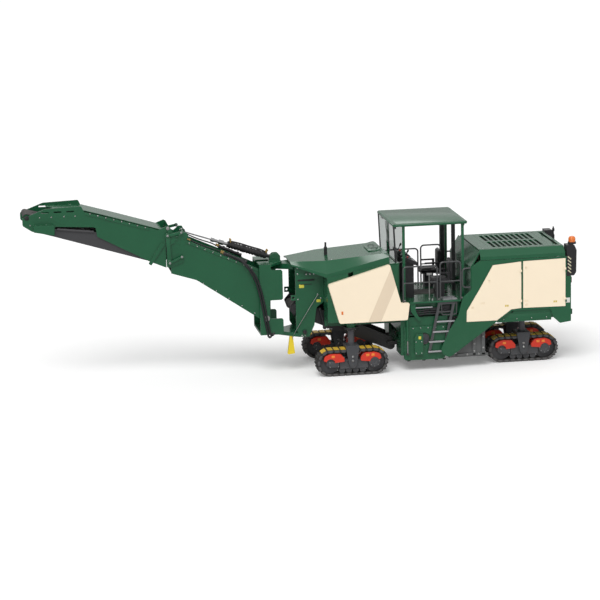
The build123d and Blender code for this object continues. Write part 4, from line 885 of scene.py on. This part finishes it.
def cleats(name, body, tail, head, radius):
    """Moulded chevrons along a belt's upper run, from its pulleys' centres by x and z."""
    start, end = at(tail[0], 0, tail[1]), at(head[0], 0, head[1])
    run = end - start
    upright = Vector((-run.z, 0, run.x)).normalized()
    arms = []
    for side in (-1, 1):
        arm = plate((-0.011, -0.004, -0.004), (0.011, CLEAT_REACH, 0.014), 0.003)
        arms.append(copies(arm, [Matrix.Rotation(side * radians(62) - pi / 2 * (1 - side), 4, "Z")]))
    lean = Vector((0, 1, 0)).cross(upright)
    along_belt = Matrix((lean, Vector((0, 1, 0)), upright)).transposed().to_4x4()
    count = int(run.length / CLEAT_PITCH)
    places = [
        Matrix.Translation(start + upright * radius + run * ((step + 0.5) / count)) @ along_belt
        for step in range(count)
    ]
    fit(copies(joined(*arms), places), name, belt_rubber, body)


cleats("cleats_loading", "chassis", (1.150, 0.545), (3.690, 1.690), 0.109)
cleats("cleats_inner", "conveyor_inner", (4.560, 1.600), (6.700, 3.150), 0.089)
cleats("cleats_outer", "conveyor_outer", (7.300, 3.540), (10.530, 4.430), 0.089)

# Rows of bolts along the flanges, and caps on the pins and the head's bearings.
INNER_FLANGE = [(4.80 + step * 0.20, 2.765 + (0.16 + step * 0.20) * 0.455) for step in range(9)]
INNER_FOOT = [(4.42 + step * 0.33, 1.42 + step * 0.215) for step in range(6)]
OUTER_FLANGE = [(7.52 + step * 0.20, 4.014 + (0.08 + step * 0.20) * 0.30) for step in range(8)]
FLANGE_EDGE, FRAME_FACE = 0.5165, 0.499
OUTER_HEAD = ((9.30, 4.42), (9.58, 4.42), (9.90, 4.42), (10.20, 4.42), (10.05, 4.2195), (10.45, 4.2315))
for side, word in SIDES:
    inner, outer = "conveyor_inner", "conveyor_outer"
    heads = outward(side, FLANGE_EDGE, *INNER_FLANGE) + outward(side, FRAME_FACE, *INNER_FOOT)
    bolts("inner_bolts_" + word, 0.015, heads, inner)
    heads = outward(side, FLANGE_EDGE, *OUTER_FLANGE) + outward(side, FRAME_FACE, *OUTER_HEAD)
    bolts("outer_bolts_" + word, 0.015, heads, outer)
    hub = [(0.060, 0), (0.060, 0.012), (0.040, 0.016), (0.040, 0.030), (0.014, 0.034)]
    spots = outward(side, FRAME_FACE, (10.530, 4.430))
    set_out("head_bearing_" + word, black_satin, hub, spots, outer)
    cap = [(0.040, 0), (0.044, 0.004), (0.044, 0.010), (0.024, 0.014), (0.022, 0.020)]
    set_out("fold_pin_cap_" + word, bolt_zinc, cap, outward(side, 0.5355, (6.950, 3.990)), outer)
    cap = [(0.070, 0), (0.076, 0.006), (0.076, 0.016), (0.040, 0.020), (0.036, 0.030)]
    set_out("foot_pin_cap_" + word, bolt_zinc, cap, outward(side, 0.611, (4.450, 1.500)), inner)

# A short hydraulic cylinder with brass ends lies on each flange, under its hoses.
UNION = [
    (0.015, 0), (0.024, 0.004), (0.024, 0.034), (0.018, 0.038), (0.018, 0.066), (0.023, 0.068),
    (0.023, 0.092), (0.012, 0.096),
]
FLANGE_RISE = Vector((1.840, 0, 0.837)).normalized()
FLANGE_UP = Vector((-FLANGE_RISE.z, 0, FLANGE_RISE.x))


def over_flange(along, y, up):
    """A point over the near half's top flange, a distance from its rear end."""
    return at(4.640, y, 2.795) + FLANGE_RISE * along + FLANGE_UP * up


for side, word in SIDES:
    y = side * 0.490
    case = turned([
        (0.030, 0), (0.048, 0.010), (0.048, 0.040), (0.042, 0.046), (0.042, 0.600), (0.050, 0.606),
        (0.050, 0.650), (0.036, 0.660), (0.020, 0.664),
    ])
    pieces = [copies(case, [facing(over_flange(0.34, y, 0.056), FLANGE_RISE)])]
    for along in (0.46, 0.86):
        saddle = plate((-0.020, -0.030, -0.058), (0.020, 0.030, 0.0))
        look = FLANGE_RISE.cross(Vector((0, -1, 0)))
        pieces.append(copies(saddle, [facing(over_flange(along, y, 0.056), look)]))
    fit(joined(*pieces), "flange_cylinder_" + word, black_satin, "conveyor_inner")
    ends = [
        (0.99, y - 0.022, 0.056), (0.99, y + 0.022, 0.056), (0.99, y, 0.086),
        (1.93, side * 0.470 - 0.045, 0.06), (1.93, side * 0.470, 0.06), (1.93, side * 0.470 + 0.045, 0.06),
    ]
    spots = [facing(over_flange(*end), FLANGE_RISE) for end in ends]
    set_out("flange_unions_" + word, brass, UNION, spots, "conveyor_inner", sides=6)
    for number, y in enumerate((side * 0.485, side * 0.440)):
        rises = ((1.08, 0.060), (1.20, 0.075), (1.50, 0.045), (1.80, 0.045), (1.94, 0.060))
        route = [over_flange(along, y, up) for along, up in rises]
        strand(f"flange_hose_{word}_{number}", route, 0.014, hose_rubber, "conveyor_inner")


# Welded levers on both sides of the fold take the pull of its locking rods. Each bar is
# flame-cut plate with a round eye at both ends, held by a headed pin.
def lever_bar(side, start, end, half, inner, outer):
    """A flat bar between two places given by x and z, with a round eye at each end."""
    run = Vector((end[0] - start[0], 0, end[1] - start[1]))
    thick = outer - inner
    bar = plate((0, 0, -half), (run.length, thick, half), 0.003)
    lean = Vector((1, 0, 0)).rotation_difference(run).to_matrix().to_4x4()
    near = min(side * inner, side * outer)
    bar = copies(bar, [Matrix.Translation(at(start[0], near, start[1])) @ lean])
    eye = turned([
        (half * 1.22, 0), (half * 1.30, 0.004), (half * 1.30, thick), (half * 1.16, thick + 0.006)
    ])
    return joined(bar, copies(eye, outward(side, inner, start, end)))


LEVER_TOP, LEVER_FOOT = (6.965, 3.800), (6.925, 3.085)
LEVER_EYE, STRUT_END = (6.610, 3.870), (6.610, 3.235)
for side, word in SIDES:
    levers = joined(
        lever_bar(side, LEVER_TOP, LEVER_FOOT, 0.050, 0.540, 0.562),
        lever_bar(side, LEVER_TOP, LEVER_EYE, 0.036, 0.563, 0.580),
        lever_bar(side, LEVER_FOOT, STRUT_END, 0.030, 0.563, 0.580),
    )
    fit(levers, "fold_levers_" + word, green_gloss, "conveyor_inner")
    pins = []
    for cut, spots in ((0, (LEVER_EYE, STRUT_END)), (0.038, (LEVER_TOP, LEVER_FOOT))):
        pin = turned([
            (0.020, 0), (0.020, 0.078 - cut), (0.030, 0.080 - cut), (0.030, 0.094 - cut),
            (0.022, 0.098 - cut),
        ], sides=20)
        pins.append(copies(pin, outward(side, 0.498 + cut, *spots)))
    fit(joined(*pins), "fold_lever_pins_" + word, bolt_zinc, "conveyor_inner")

# A curtain of rubber strips closes the gap at the fold, fixed to the near half only.
strips = []
for side in (-1, 1):
    for step in range(6):
        z = 3.02 + step * 0.13
        strips.append(plate(at(6.86, side * 0.446, z), at(6.995, side * 0.454, z + 0.122), 0.003))
fit(joined(*strips), "fold_curtain", belt_rubber, "conveyor_inner")

# ---- luffing cylinder -------------------------------------------------------------------
# A hydraulic cylinder in a ribbed guard. Its pressure hoses run along the barrel to brass
# unions at its far end.

RAM_FOOT = at(4.180, 0, 2.990)
RAM_LINE = (at(6.520, 0, 3.800) - RAM_FOOT).normalized()
RAM_UP = Vector((-RAM_LINE.z, 0, RAM_LINE.x))


def by_ram(along, across, up):
    return RAM_FOOT + RAM_LINE * along + Vector((0, across, 0)) + RAM_UP * up


RAM_SIDES = (-0.058, 0.058)
for number, y in enumerate(RAM_SIDES):
    rises = ((0.20, 0.078), (0.30, 0.110), (0.60, 0.102), (0.90, 0.112), (1.15, 0.100), (1.215, 0.082))
    route = [by_ram(along, y, up) for along, up in rises] + [by_ram(1.225, y * 0.8, 0.060)]
    strand(f"ram_hose_{number}", route, 0.013, hose_rubber, "luff_barrel")
spots = [facing(by_ram(1.185, y, 0.070), RAM_UP + RAM_LINE * 0.3) for y in RAM_SIDES]
spots += [facing(by_ram(0.215, y, 0.070), RAM_UP - RAM_LINE * 0.3) for y in RAM_SIDES]
set_out("ram_unions", brass, UNION, spots, "luff_barrel", sides=6)
band = [(0.094, -0.012), (0.097, -0.010), (0.097, 0.010), (0.094, 0.012), (0.085, 0.010), (0.085, -0.010)]
spots = [facing(by_ram(along, 0, 0), RAM_LINE) for along in (0.41, 0.81)]
set_out("ram_bands", black_satin, band, spots, "luff_barrel", hollow=True)

# ---- operator's station -----------------------------------------------------------------
# A steel deck with hand rails and ladders on both sides, under a fixed roof. Treads and
# grates are galvanised.

DECK_Z = 1.849
dress(green_gloss, "platform", "canopy_roof", "canopy_posts")
dress(black_satin, "lift_posts", "seat_pedestals", "consoles")
rail_grey = finish(
    "rail_grey", (0.085, 0.087, 0.090), 0.36, metal=0.3, coat=0.1, wear=0.3, dust=0.1
)
dress(rail_grey, "handrails", "ladders")
tread_zinc = finish(
    "tread_zinc", (0.42, 0.42, 0.44), 0.42, metal=0.3, wear=0.3, dust=0.25,
    grain=60.0, bump=0.12,
)
TREADS = (
    # first and last x, height
    (-0.363, 0.066, 1.290), (-0.234, 0.170, 1.022), (-0.156, 0.273, 0.762), (-0.130, 0.300, 0.502),
)
TREAD_RIBS = 14
RAIL_FOOT = [(0.034, 0), (0.036, 0.003), (0.036, 0.012), (0.026, 0.018), (0.022, 0.040), (0.016, 0.042)]
for side, word in SIDES:
    treads = []
    for first, last, z in TREADS:
        low = at(first - 0.03, side * 1.162, z - 0.022)
        treads.append(plate(low, at(last + 0.02, side * 1.216, z + 0.016), 0.006))
        for rib in range(TREAD_RIBS):
            x = first + 0.02 + rib * (last - first - 0.05) / (TREAD_RIBS - 1)
            low = at(x, side * 1.166, z + 0.014)
            treads.append(plate(low, at(x + 0.010, side * 1.210, z + 0.021), 0.002))
    fit(joined(*treads), "ladder_treads_" + word, tread_zinc)

    # The top step: a bar across the recess, a ribbed grate at the deck's edge, and a loop.
    grate = [plate(at(0.19, side * 1.150, 1.670), at(0.69, side * 1.205, 1.700), 0.008)]
    for step in range(12):
        x = -0.47 + step * 0.032
        grate.append(plate(at(x, side * 0.820, 1.851), at(x + 0.012, side * 1.180, 1.874), 0.002))
    for step in range(4):
        y = side * (0.835 + step * 0.11)
        grate.append(plate(at(-0.475, y, 1.8495), at(-0.095, y + side * 0.012, 1.868), 0.002))
    fit(joined(*grate), "deck_grate_" + word, tread_zinc)
    loop = on_side(
        side, (-0.055, 1.175, 1.855), (-0.050, 1.195, 1.80), (-0.050, 1.200, 1.62),
        (-0.055, 1.200, 1.48), (-0.090, 1.200, 1.465), (-0.25, 1.200, 1.465), (-0.41, 1.200, 1.465),
        (-0.445, 1.200, 1.48), (-0.450, 1.200, 1.62), (-0.450, 1.195, 1.80), (-0.445, 1.175, 1.855),
    )
    strand("step_loop_" + word, loop, 0.014, rail_grey)
    spots = [shifted(*at(x, side * 1.085, DECK_Z)) for x in (-0.62, -0.02, 0.16, 0.90)]
    set_out("rail_feet_" + word, bolt_zinc, RAIL_FOOT, spots)

# A ribbed rubber mat on the deck.
mat = [plate(at(-0.42, -0.30, DECK_Z), at(0.52, 0.30, 1.860), 0.003)]
for step in range(19):
    x = -0.41 + step * 0.047
    mat.append(plate(at(x, -0.285, 1.859), at(x + 0.025, 0.285, 1.864), 0.001))
fit(joined(*mat), "deck_mat", belt_rubber)

# ---- seats ------------------------------------------------------------------------------
# Moulded foam cushions in black vinyl on the pans, crowned by their filling and sewn
# across the front and along both sides.

seat_vinyl = finish(
    "seat_vinyl", (0.020, 0.020, 0.022), 0.42, wear=0.0, dust=0.08, grain=700.0,
    bump=0.18,
)
piping = finish("piping", (0.045, 0.045, 0.048), 0.4, wear=0.0, dust=0.05)
FOAM_EDGE, CLOTH_GRID, MOST_SWELL, CLOTH_FRAMES = 0.030, 0.012, 0.012, 12


def apply(modifier):
    bpy.ops.object.modifier_apply(modifier=modifier.name)


def puffed(low, high):
    """A foam pad between two corners, filled until its skin stands proud of the seams."""
    shape = plate(low, high, FOAM_EDGE)
    remesh = shape.modifiers.new("even_faces", "REMESH")
    remesh.mode = "VOXEL"
    remesh.voxel_size = CLOTH_GRID
    apply(remesh)
    before = [vertex.co.copy() for vertex in shape.data.vertices]
    cloth = shape.modifiers.new("filling", "CLOTH")
    cloth.settings.use_pressure = True
    cloth.settings.uniform_pressure_force = 4.0
    cloth.settings.effector_weights.gravity = 0.0
    cloth.settings.quality = 5
    for step in range(CLOTH_FRAMES):
        bpy.context.scene.frame_set(step + 1)
    apply(cloth)
    bpy.context.scene.frame_set(1)
    for vertex, start in zip(shape.data.vertices, before):
        move = vertex.co - start
        if move.length > MOST_SWELL:
            vertex.co = start + move * (MOST_SWELL / move.length)
        vertex.co.z = max(vertex.co.z, low.z)
    smooth = shape.modifiers.new("skin", "SUBSURF")
    smooth.levels = smooth.render_levels = 1
    apply(smooth)
    return shape


SEAT_TOP, SEAT_Y, PIPING_R = 2.270, 0.680, 0.004
CUSHION_SEAM = (
    # x, distance across from the seat's middle
    (-0.300, -0.226), (-0.250, -0.231), (-0.100, -0.231), (0.080, -0.231), (0.136, -0.215),
    (0.141, -0.150), (0.141, 0), (0.141, 0.150), (0.136, 0.215), (0.080, 0.231), (-0.100, 0.231),
    (-0.300, 0.226),
)
BACK_SEAM = (
    # distance across, height over the pan
    (-0.219, 0.10), (-0.221, 0.30), (-0.219, 0.54), (-0.19, 0.588), (0, 0.591), (0.19, 0.588),
    (0.219, 0.54), (0.221, 0.30), (0.219, 0.10),
)
for side, word in reversed(SIDES):
    y = side * SEAT_Y
    cushion = puffed(at(-0.318, y - 0.218, SEAT_TOP + 0.001), at(0.128, y + 0.218, SEAT_TOP + 0.098))
    back = puffed(at(-0.440, y - 0.208, SEAT_TOP + 0.030), at(-0.341, y + 0.208, SEAT_TOP + 0.578))
    for part, pad in (("cushion", cushion), ("back", back)):
        fit(pad, f"seat_{part}_{word}", seat_vinyl)
        bpy.ops.object.shade_smooth()
        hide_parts("seats")
    seam = [at(x, y + off, SEAT_TOP + 0.052) for x, off in CUSHION_SEAM]
    strand("seat_piping_cushion_" + word, seam, PIPING_R, piping)
    seam = [at(-0.390, y + off, SEAT_TOP + rise) for off, rise in BACK_SEAM]
    strand("seat_piping_back_" + word, seam, PIPING_R, piping)

# ---- consoles ---------------------------------------------------------------------------
# Two desks with a screen, push buttons and a lever each, and a silver post for the mirror
# camera at the deck's edge.

screen_glass = finish(
    "screen_glass", (0.03, 0.045, 0.05), 0.12, coat=0.5, wear=0.0, dust=0.05
)
button_red = finish("button_red", (0.55, 0.02, 0.02), 0.35, wear=0.0, dust=0.05)
DESK_SLOPE = Vector((0.350, 0, 0.170)).normalized()
DESK_UP = Vector((-DESK_SLOPE.z, 0, DESK_SLOPE.x))
BUTTON = [(0.011, 0), (0.011, 0.006), (0.009, 0.009), (0.009, 0.014), (0.006, 0.016)]
STOP = [(0.012, 0), (0.012, 0.018), (0.026, 0.022), (0.028, 0.030), (0.022, 0.038), (0.008, 0.040)]
LEVER = [
    (0.030, 0), (0.030, 0.008), (0.010, 0.022), (0.010, 0.085), (0.022, 0.100), (0.026, 0.135),
    (0.020, 0.165), (0.006, 0.172),
]


def on_desk(along, y, lift):
    """A place on a desk's sloping top, a distance forward of its rear edge."""
    return facing(at(0.470, y, 2.790) + DESK_SLOPE * along + DESK_UP * lift, DESK_UP)


for side, word in reversed(SIDES):
    y = side * 0.480
    face = plate((-0.085, -0.120, -0.012), (0.085, 0.120, 0.010), 0.006)
    pick_faces(face, top_faces)
    bpy.ops.mesh.inset(thickness=0.012)
    bpy.ops.transform.translate(value=(0, 0, -0.004))
    bpy.ops.object.mode_set(mode="OBJECT")
    fit(copies(face, [on_desk(0.27, y, 0.008)]), "desk_screen_" + word, screen_glass)
    columns = [column * 0.042 for column in range(-5, 6) if column]
    spots = [on_desk(along, y + across, -0.001) for along in (0.090, 0.135) for across in columns]
    set_out("desk_buttons_" + word, tread_zinc, BUTTON, spots, sides=14)
    set_out("desk_stop_" + word, button_red, STOP, [on_desk(0.30, y + 0.20, -0.001)])
    set_out("desk_lever_" + word, mesh_black, LEVER, [on_desk(0.25, y - 0.20, -0.002)])

post = turned([
    (0.030, DECK_Z), (0.032, 1.853), (0.032, 1.862), (0.016, 1.868), (0.016, 2.500), (0.012, 2.504)
])
post = copies(post, [shifted(*at(0.225, 0.985, 0))])
bar = plate(at(0.155, 0.955, 2.490), at(0.295, 1.015, 2.545), 0.008)
fit(joined(post, bar), "camera_post", bolt_zinc)

# ---- canopy -----------------------------------------------------------------------------
# The roof's skin is one pressed sheet with a rolled rain edge. Work lamps hang under its
# corners, and a wiper is fixed over the screen, which is one clear pane in rubber.

lamp_glass = finish(
    "lamp_glass", (0.75, 0.75, 0.72), 0.15, coat=0.5, wear=0.0, dust=0.03
)
ROOF_EDGES = (
    # x and y of one corner, x and y of the other
    (-0.72, -1.110, 1.12, -1.078), (-0.72, 1.078, 1.12, 1.110),
    (-0.785, -1.045, -0.753, 1.045), (1.153, -1.045, 1.185, 1.045),
)
edges = [plate(at(x, y, 3.832), at(u, v, 3.878), 0.012) for x, y, u, v in ROOF_EDGES]
edges.append(plate(at(-0.69, -1.015, 3.886), at(1.09, 1.015, 3.8935), 0.004))
fit(joined(*edges), "canopy_edges", green_gloss)
lamps, lenses = [], []
for x, look in ((1.130, 1), (-0.765, -1)):
    for y in (-0.78, 0.78):
        case = at(x - look * 0.075, y - 0.075, 3.728), at(x - look * 0.012, y + 0.075, 3.822)
        lamps.append(plate(*case, 0.010))
        lens = at(x - look * 0.016, y - 0.062, 3.740), at(x - look * 0.006, y + 0.062, 3.808)
        lenses.append(plate(*lens, 0.004))
fit(joined(*lamps), "work_lamps", black_satin)
fit(joined(*lenses), "work_lamp_glass", lamp_glass)
gasket = plate(at(1.096, -0.98, 2.868), at(1.124, 0.98, 2.886), 0.004)
arm = on_side(
    1, (1.172, 0.02, 3.800), (1.180, 0.04, 3.74), (1.176, 0.12, 3.60), (1.166, 0.22, 3.44),
    (1.160, 0.26, 3.38),
)
strand("wiper_arm", arm, 0.007, black_satin)
blade = on_side(
    1, (1.158, 0.16, 3.60), (1.154, 0.20, 3.50), (1.150, 0.26, 3.38), (1.144, 0.33, 3.22),
    (1.140, 0.37, 3.12),
)
strand("wiper_blade", blade, 0.009, belt_rubber)
fit(gasket, "screen_gasket", belt_rubber)
pane, pane_tree, pane_shader = blank("pane")
give(pane_tree, pane_shader, Base_Color=(0.93, 0.97, 0.95, 1), Transmission_Weight=1.0,
     Roughness=0.02, IOR=1.1)
dress(pane, "windscreen")

# ---- rear and corner boxes --------------------------------------------------------------
# Black moulded boxes wrap the rear corners, each with a hazard label of cream stripes. The
# beacon stands on the left one and the tail lamps sit under them.

stripe_cream = finish(
    "stripe_cream", (0.62, 0.58, 0.40), 0.4, wear=0.0, dust=0.03, drift=0.03
)
tail_red = finish("tail_red", (0.50, 0.015, 0.012), 0.18, coat=0.5, wear=0.0, dust=0.05)
beacon_lens = finish(
    "beacon_lens", (0.80, 0.20, 0.035), 0.2, coat=0.4, wear=0.0, dust=0.05
)
dress(black_satin, "corner_boxes", "masts")
dress(beacon_lens, "beacon")
for side, word in SIDES:
    stripes = []
    for step in range(5):
        z = 2.440 + step * 0.090
        low = at(-3.515, side * 1.2475, z - 0.014)
        stripes.append(plate(low, at(-3.400, side * 1.2525, z + 0.014), 0.001))
        pick_faces(stripes[-1], lambda centre, normal: True)
        middle = at(-3.458, side * 1.25, z)
        bpy.ops.transform.rotate(value=radians(42), orient_axis="Y", center_override=middle)
        bpy.ops.object.mode_set(mode="OBJECT")
    fit(joined(*stripes), "corner_stripes_" + word, stripe_cream)
    case = plate(at(-3.532, side * 1.00, 2.130), at(-3.497, side * 1.20, 2.290), 0.008)
    fit(case, "tail_lamp_case_" + word, black_satin)
    lenses = [
        plate(at(-3.538, side * y, 2.145), at(-3.528, side * (y + 0.084), 2.275), 0.004)
        for y in (1.012, 1.104)
    ]
    fit(joined(*lenses), "tail_lens_" + word, tail_red)

BEACON_X, BEACON_Y = -3.575, 1.050
foot_ring = [
    (0.110, 3.141), (0.113, 3.144), (0.113, 3.158), (0.109, 3.162), (0.100, 3.160), (0.100, 3.143)
]
set_out("beacon_ring", black_satin, foot_ring, [shifted(*at(BEACON_X, BEACON_Y, 0))], hollow=True)
lens_rib = [
    (0.0915, 3.205), (0.0945, 3.209), (0.0945, 3.215), (0.0915, 3.219), (0.088, 3.215), (0.088, 3.209)
]
spots = [shifted(*at(BEACON_X, BEACON_Y, 0.026 * step)) for step in range(3)]
set_out("beacon_ribs", beacon_lens, lens_rib, spots, hollow=True)

# ---- hanging hoses and the wedge --------------------------------------------------------
# Pressure hoses run from the near half's flange down past the cheeks. The yellow wheel wedge
# hangs under the tower on a thin line.

for side, word in SIDES:
    for number, (y, back) in enumerate(((0.638, 0.0), (0.646, 0.062))):
        route = [
            over_flange(1.02 - number * 0.06, side * (0.508 - number * 0.05), 0.056),
            over_flange(0.80, side * 0.53, 0.075), over_flange(0.52, side * 0.575, 0.070),
        ]
        route += on_side(
            side, (4.900 - back, y, 2.840), (4.740 - back, y, 2.560), (4.640 - back, y, 2.200),
            (4.560 - back, y, 1.800), (4.500 - back, y, 1.400), (4.450 - back, y, 1.150),
            (4.430 - back, y, 1.020 + number * 0.05), (4.380 - back, 0.625, 0.985 + number * 0.05),
            (4.330 - back, 0.600, 1.060 + number * 0.03), (4.325 - back, 0.560, 1.130),
        )
        hose = to_mesh(strand(f"foot_hose_{word}_{number}", route, 0.026, hose_rubber, None))
        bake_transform(hose)
wedge_yellow = finish("wedge_yellow", (0.90, 0.68, 0.022), 0.34, coat=0.15, wear=0.1, dust=0.05)
dress(wedge_yellow, "wheel_chock")
dress(green_gloss, "lashing_eyes")
cord_eye = [(0.020, 0), (0.020, 0.030), (0.014, 0.034), (0.014, 0.060)]
set_out("wedge_cord_eye", bolt_zinc, cord_eye, outward(1, TOWER_SEAT, (3.105, 2.055)))
cord = on_side(
    1, (3.105, 0.622, 2.055), (3.140, 0.625, 2.010), (3.32, 0.625, 1.74), (3.50, 0.622, 1.45),
    (3.655, 0.600, 1.20), (3.700, 0.52, 1.08), (3.740, 0.42, 0.95), (3.775, 0.403, 0.86),
)
strand("wedge_cord", cord, 0.009, bolt_zinc)

# ---- studio -----------------------------------------------------------------------------
# A plain pale floor, one wide soft lamp and a world that lights from all round. The camera
# stands far off, to the machine's left.

WHITE = (1, 1, 1, 1)


def rays_of(tree):
    """Whether a ray comes straight from the camera, and whether off something shiny."""
    rays = node(tree, "ShaderNodeLightPath").outputs
    return sums(tree, "MAXIMUM", rays["Is Camera Ray"], rays["Is Transmission Ray"]), rays["Is Glossy Ray"]


def studio_floor():
    """A wide floor that shows nothing but the object's shadow."""
    bpy.ops.object.select_all(action="DESELECT")
    bpy.ops.mesh.primitive_plane_add(size=1, location=(0, 0, -0.002), scale=(1, 1, 1))
    floor = bpy.context.object
    floor.name = "studio_floor"
    bpy.ops.object.mode_set(mode="EDIT")
    bpy.ops.transform.resize(value=(240, 240, 1))
    bpy.ops.mesh.subdivide(number_cuts=4)
    bpy.ops.object.mode_set(mode="OBJECT")
    made, tree, shader = blank("studio_white")
    seen, mirrored = rays_of(tree)
    shown = mixed(tree, mirrored, (0.93, 0.93, 0.93, 1), (0.35, 0.35, 0.35, 1))
    give(tree, shader, Roughness=0.9, Specular_IOR_Level=0.1, Base_Color=shown, Emission_Color=WHITE,
         Emission_Strength=sums(tree, "MULTIPLY", seen, 0.16))
    floor.data.materials.append(made)


def studio_world():
    """Soft light from all round, seen as white by the camera and in reflections."""
    world = bpy.data.worlds.new("studio_world")
    bpy.context.scene.world = world
    world.use_nodes = True
    tree = world.node_tree
    seen, mirrored = rays_of(tree)
    level = sums(tree, "ADD", sums(tree, "MULTIPLY", seen, 0.45), 0.55)
    place = node(tree, "ShaderNodeTexCoord").outputs["Generated"]
    near = dot(tree, place, Vector((-0.10, -0.72, 0.69)).normalized())
    panel = sums(tree, "MULTIPLY", sums(tree, "SUBTRACT", near, 0.955), 60.0, clamp=True)
    gloss = sums(tree, "ADD", sums(tree, "MULTIPLY", panel, 2.0), -0.05)
    shown = sums(tree, "MULTIPLY", mirrored, gloss)
    give(tree, tree.nodes["Background"], Color=WHITE, Strength=sums(tree, "ADD", level, shown))


def studio_sun(name, towards, spread, power):
    """A wide soft light that falls evenly on the whole floor."""
    light = bpy.data.lights.new(name, "SUN")
    light.angle = spread
    light.energy = power
    lamp = bpy.data.objects.new(name, light)
    bpy.context.scene.collection.objects.link(lamp)
    lamp.location = (0, 0, 20)
    lamp.rotation_euler = Vector(towards).to_track_quat("-Z", "Y").to_euler()


def studio_camera():
    """The camera: how far round to the left, how high and how far off it stands."""
    turn, rise, far, roll = radians(9.203), radians(12.091), 66.686, radians(1.247)
    back = Vector((sin(turn) * cos(rise), cos(turn) * cos(rise), sin(rise)))
    right = (-back).cross(Vector(UP)).normalized()
    up = right.cross(-back)
    turned_right = right * cos(roll) - up * sin(roll)
    turned_up = right * sin(roll) + up * cos(roll)
    data = bpy.data.cameras.new("studio_camera")
    data.sensor_width = 36.0
    data.lens = 152.83
    data.clip_end = 600.0
    camera = bpy.data.objects.new("studio_camera", data)
    bpy.context.scene.collection.objects.link(camera)
    camera.matrix_world = Matrix((turned_right, turned_up, back)).transposed().to_4x4()
    camera.location = at(3.475, 0.0, 1.809) + back * far
    bpy.context.scene.camera = camera


studio_floor()
studio_world()
studio_sun("key", (-0.35, -0.75, -1.1), radians(35), 1.7)
studio_camera()
bpy.context.scene.view_settings.view_transform = "Standard"
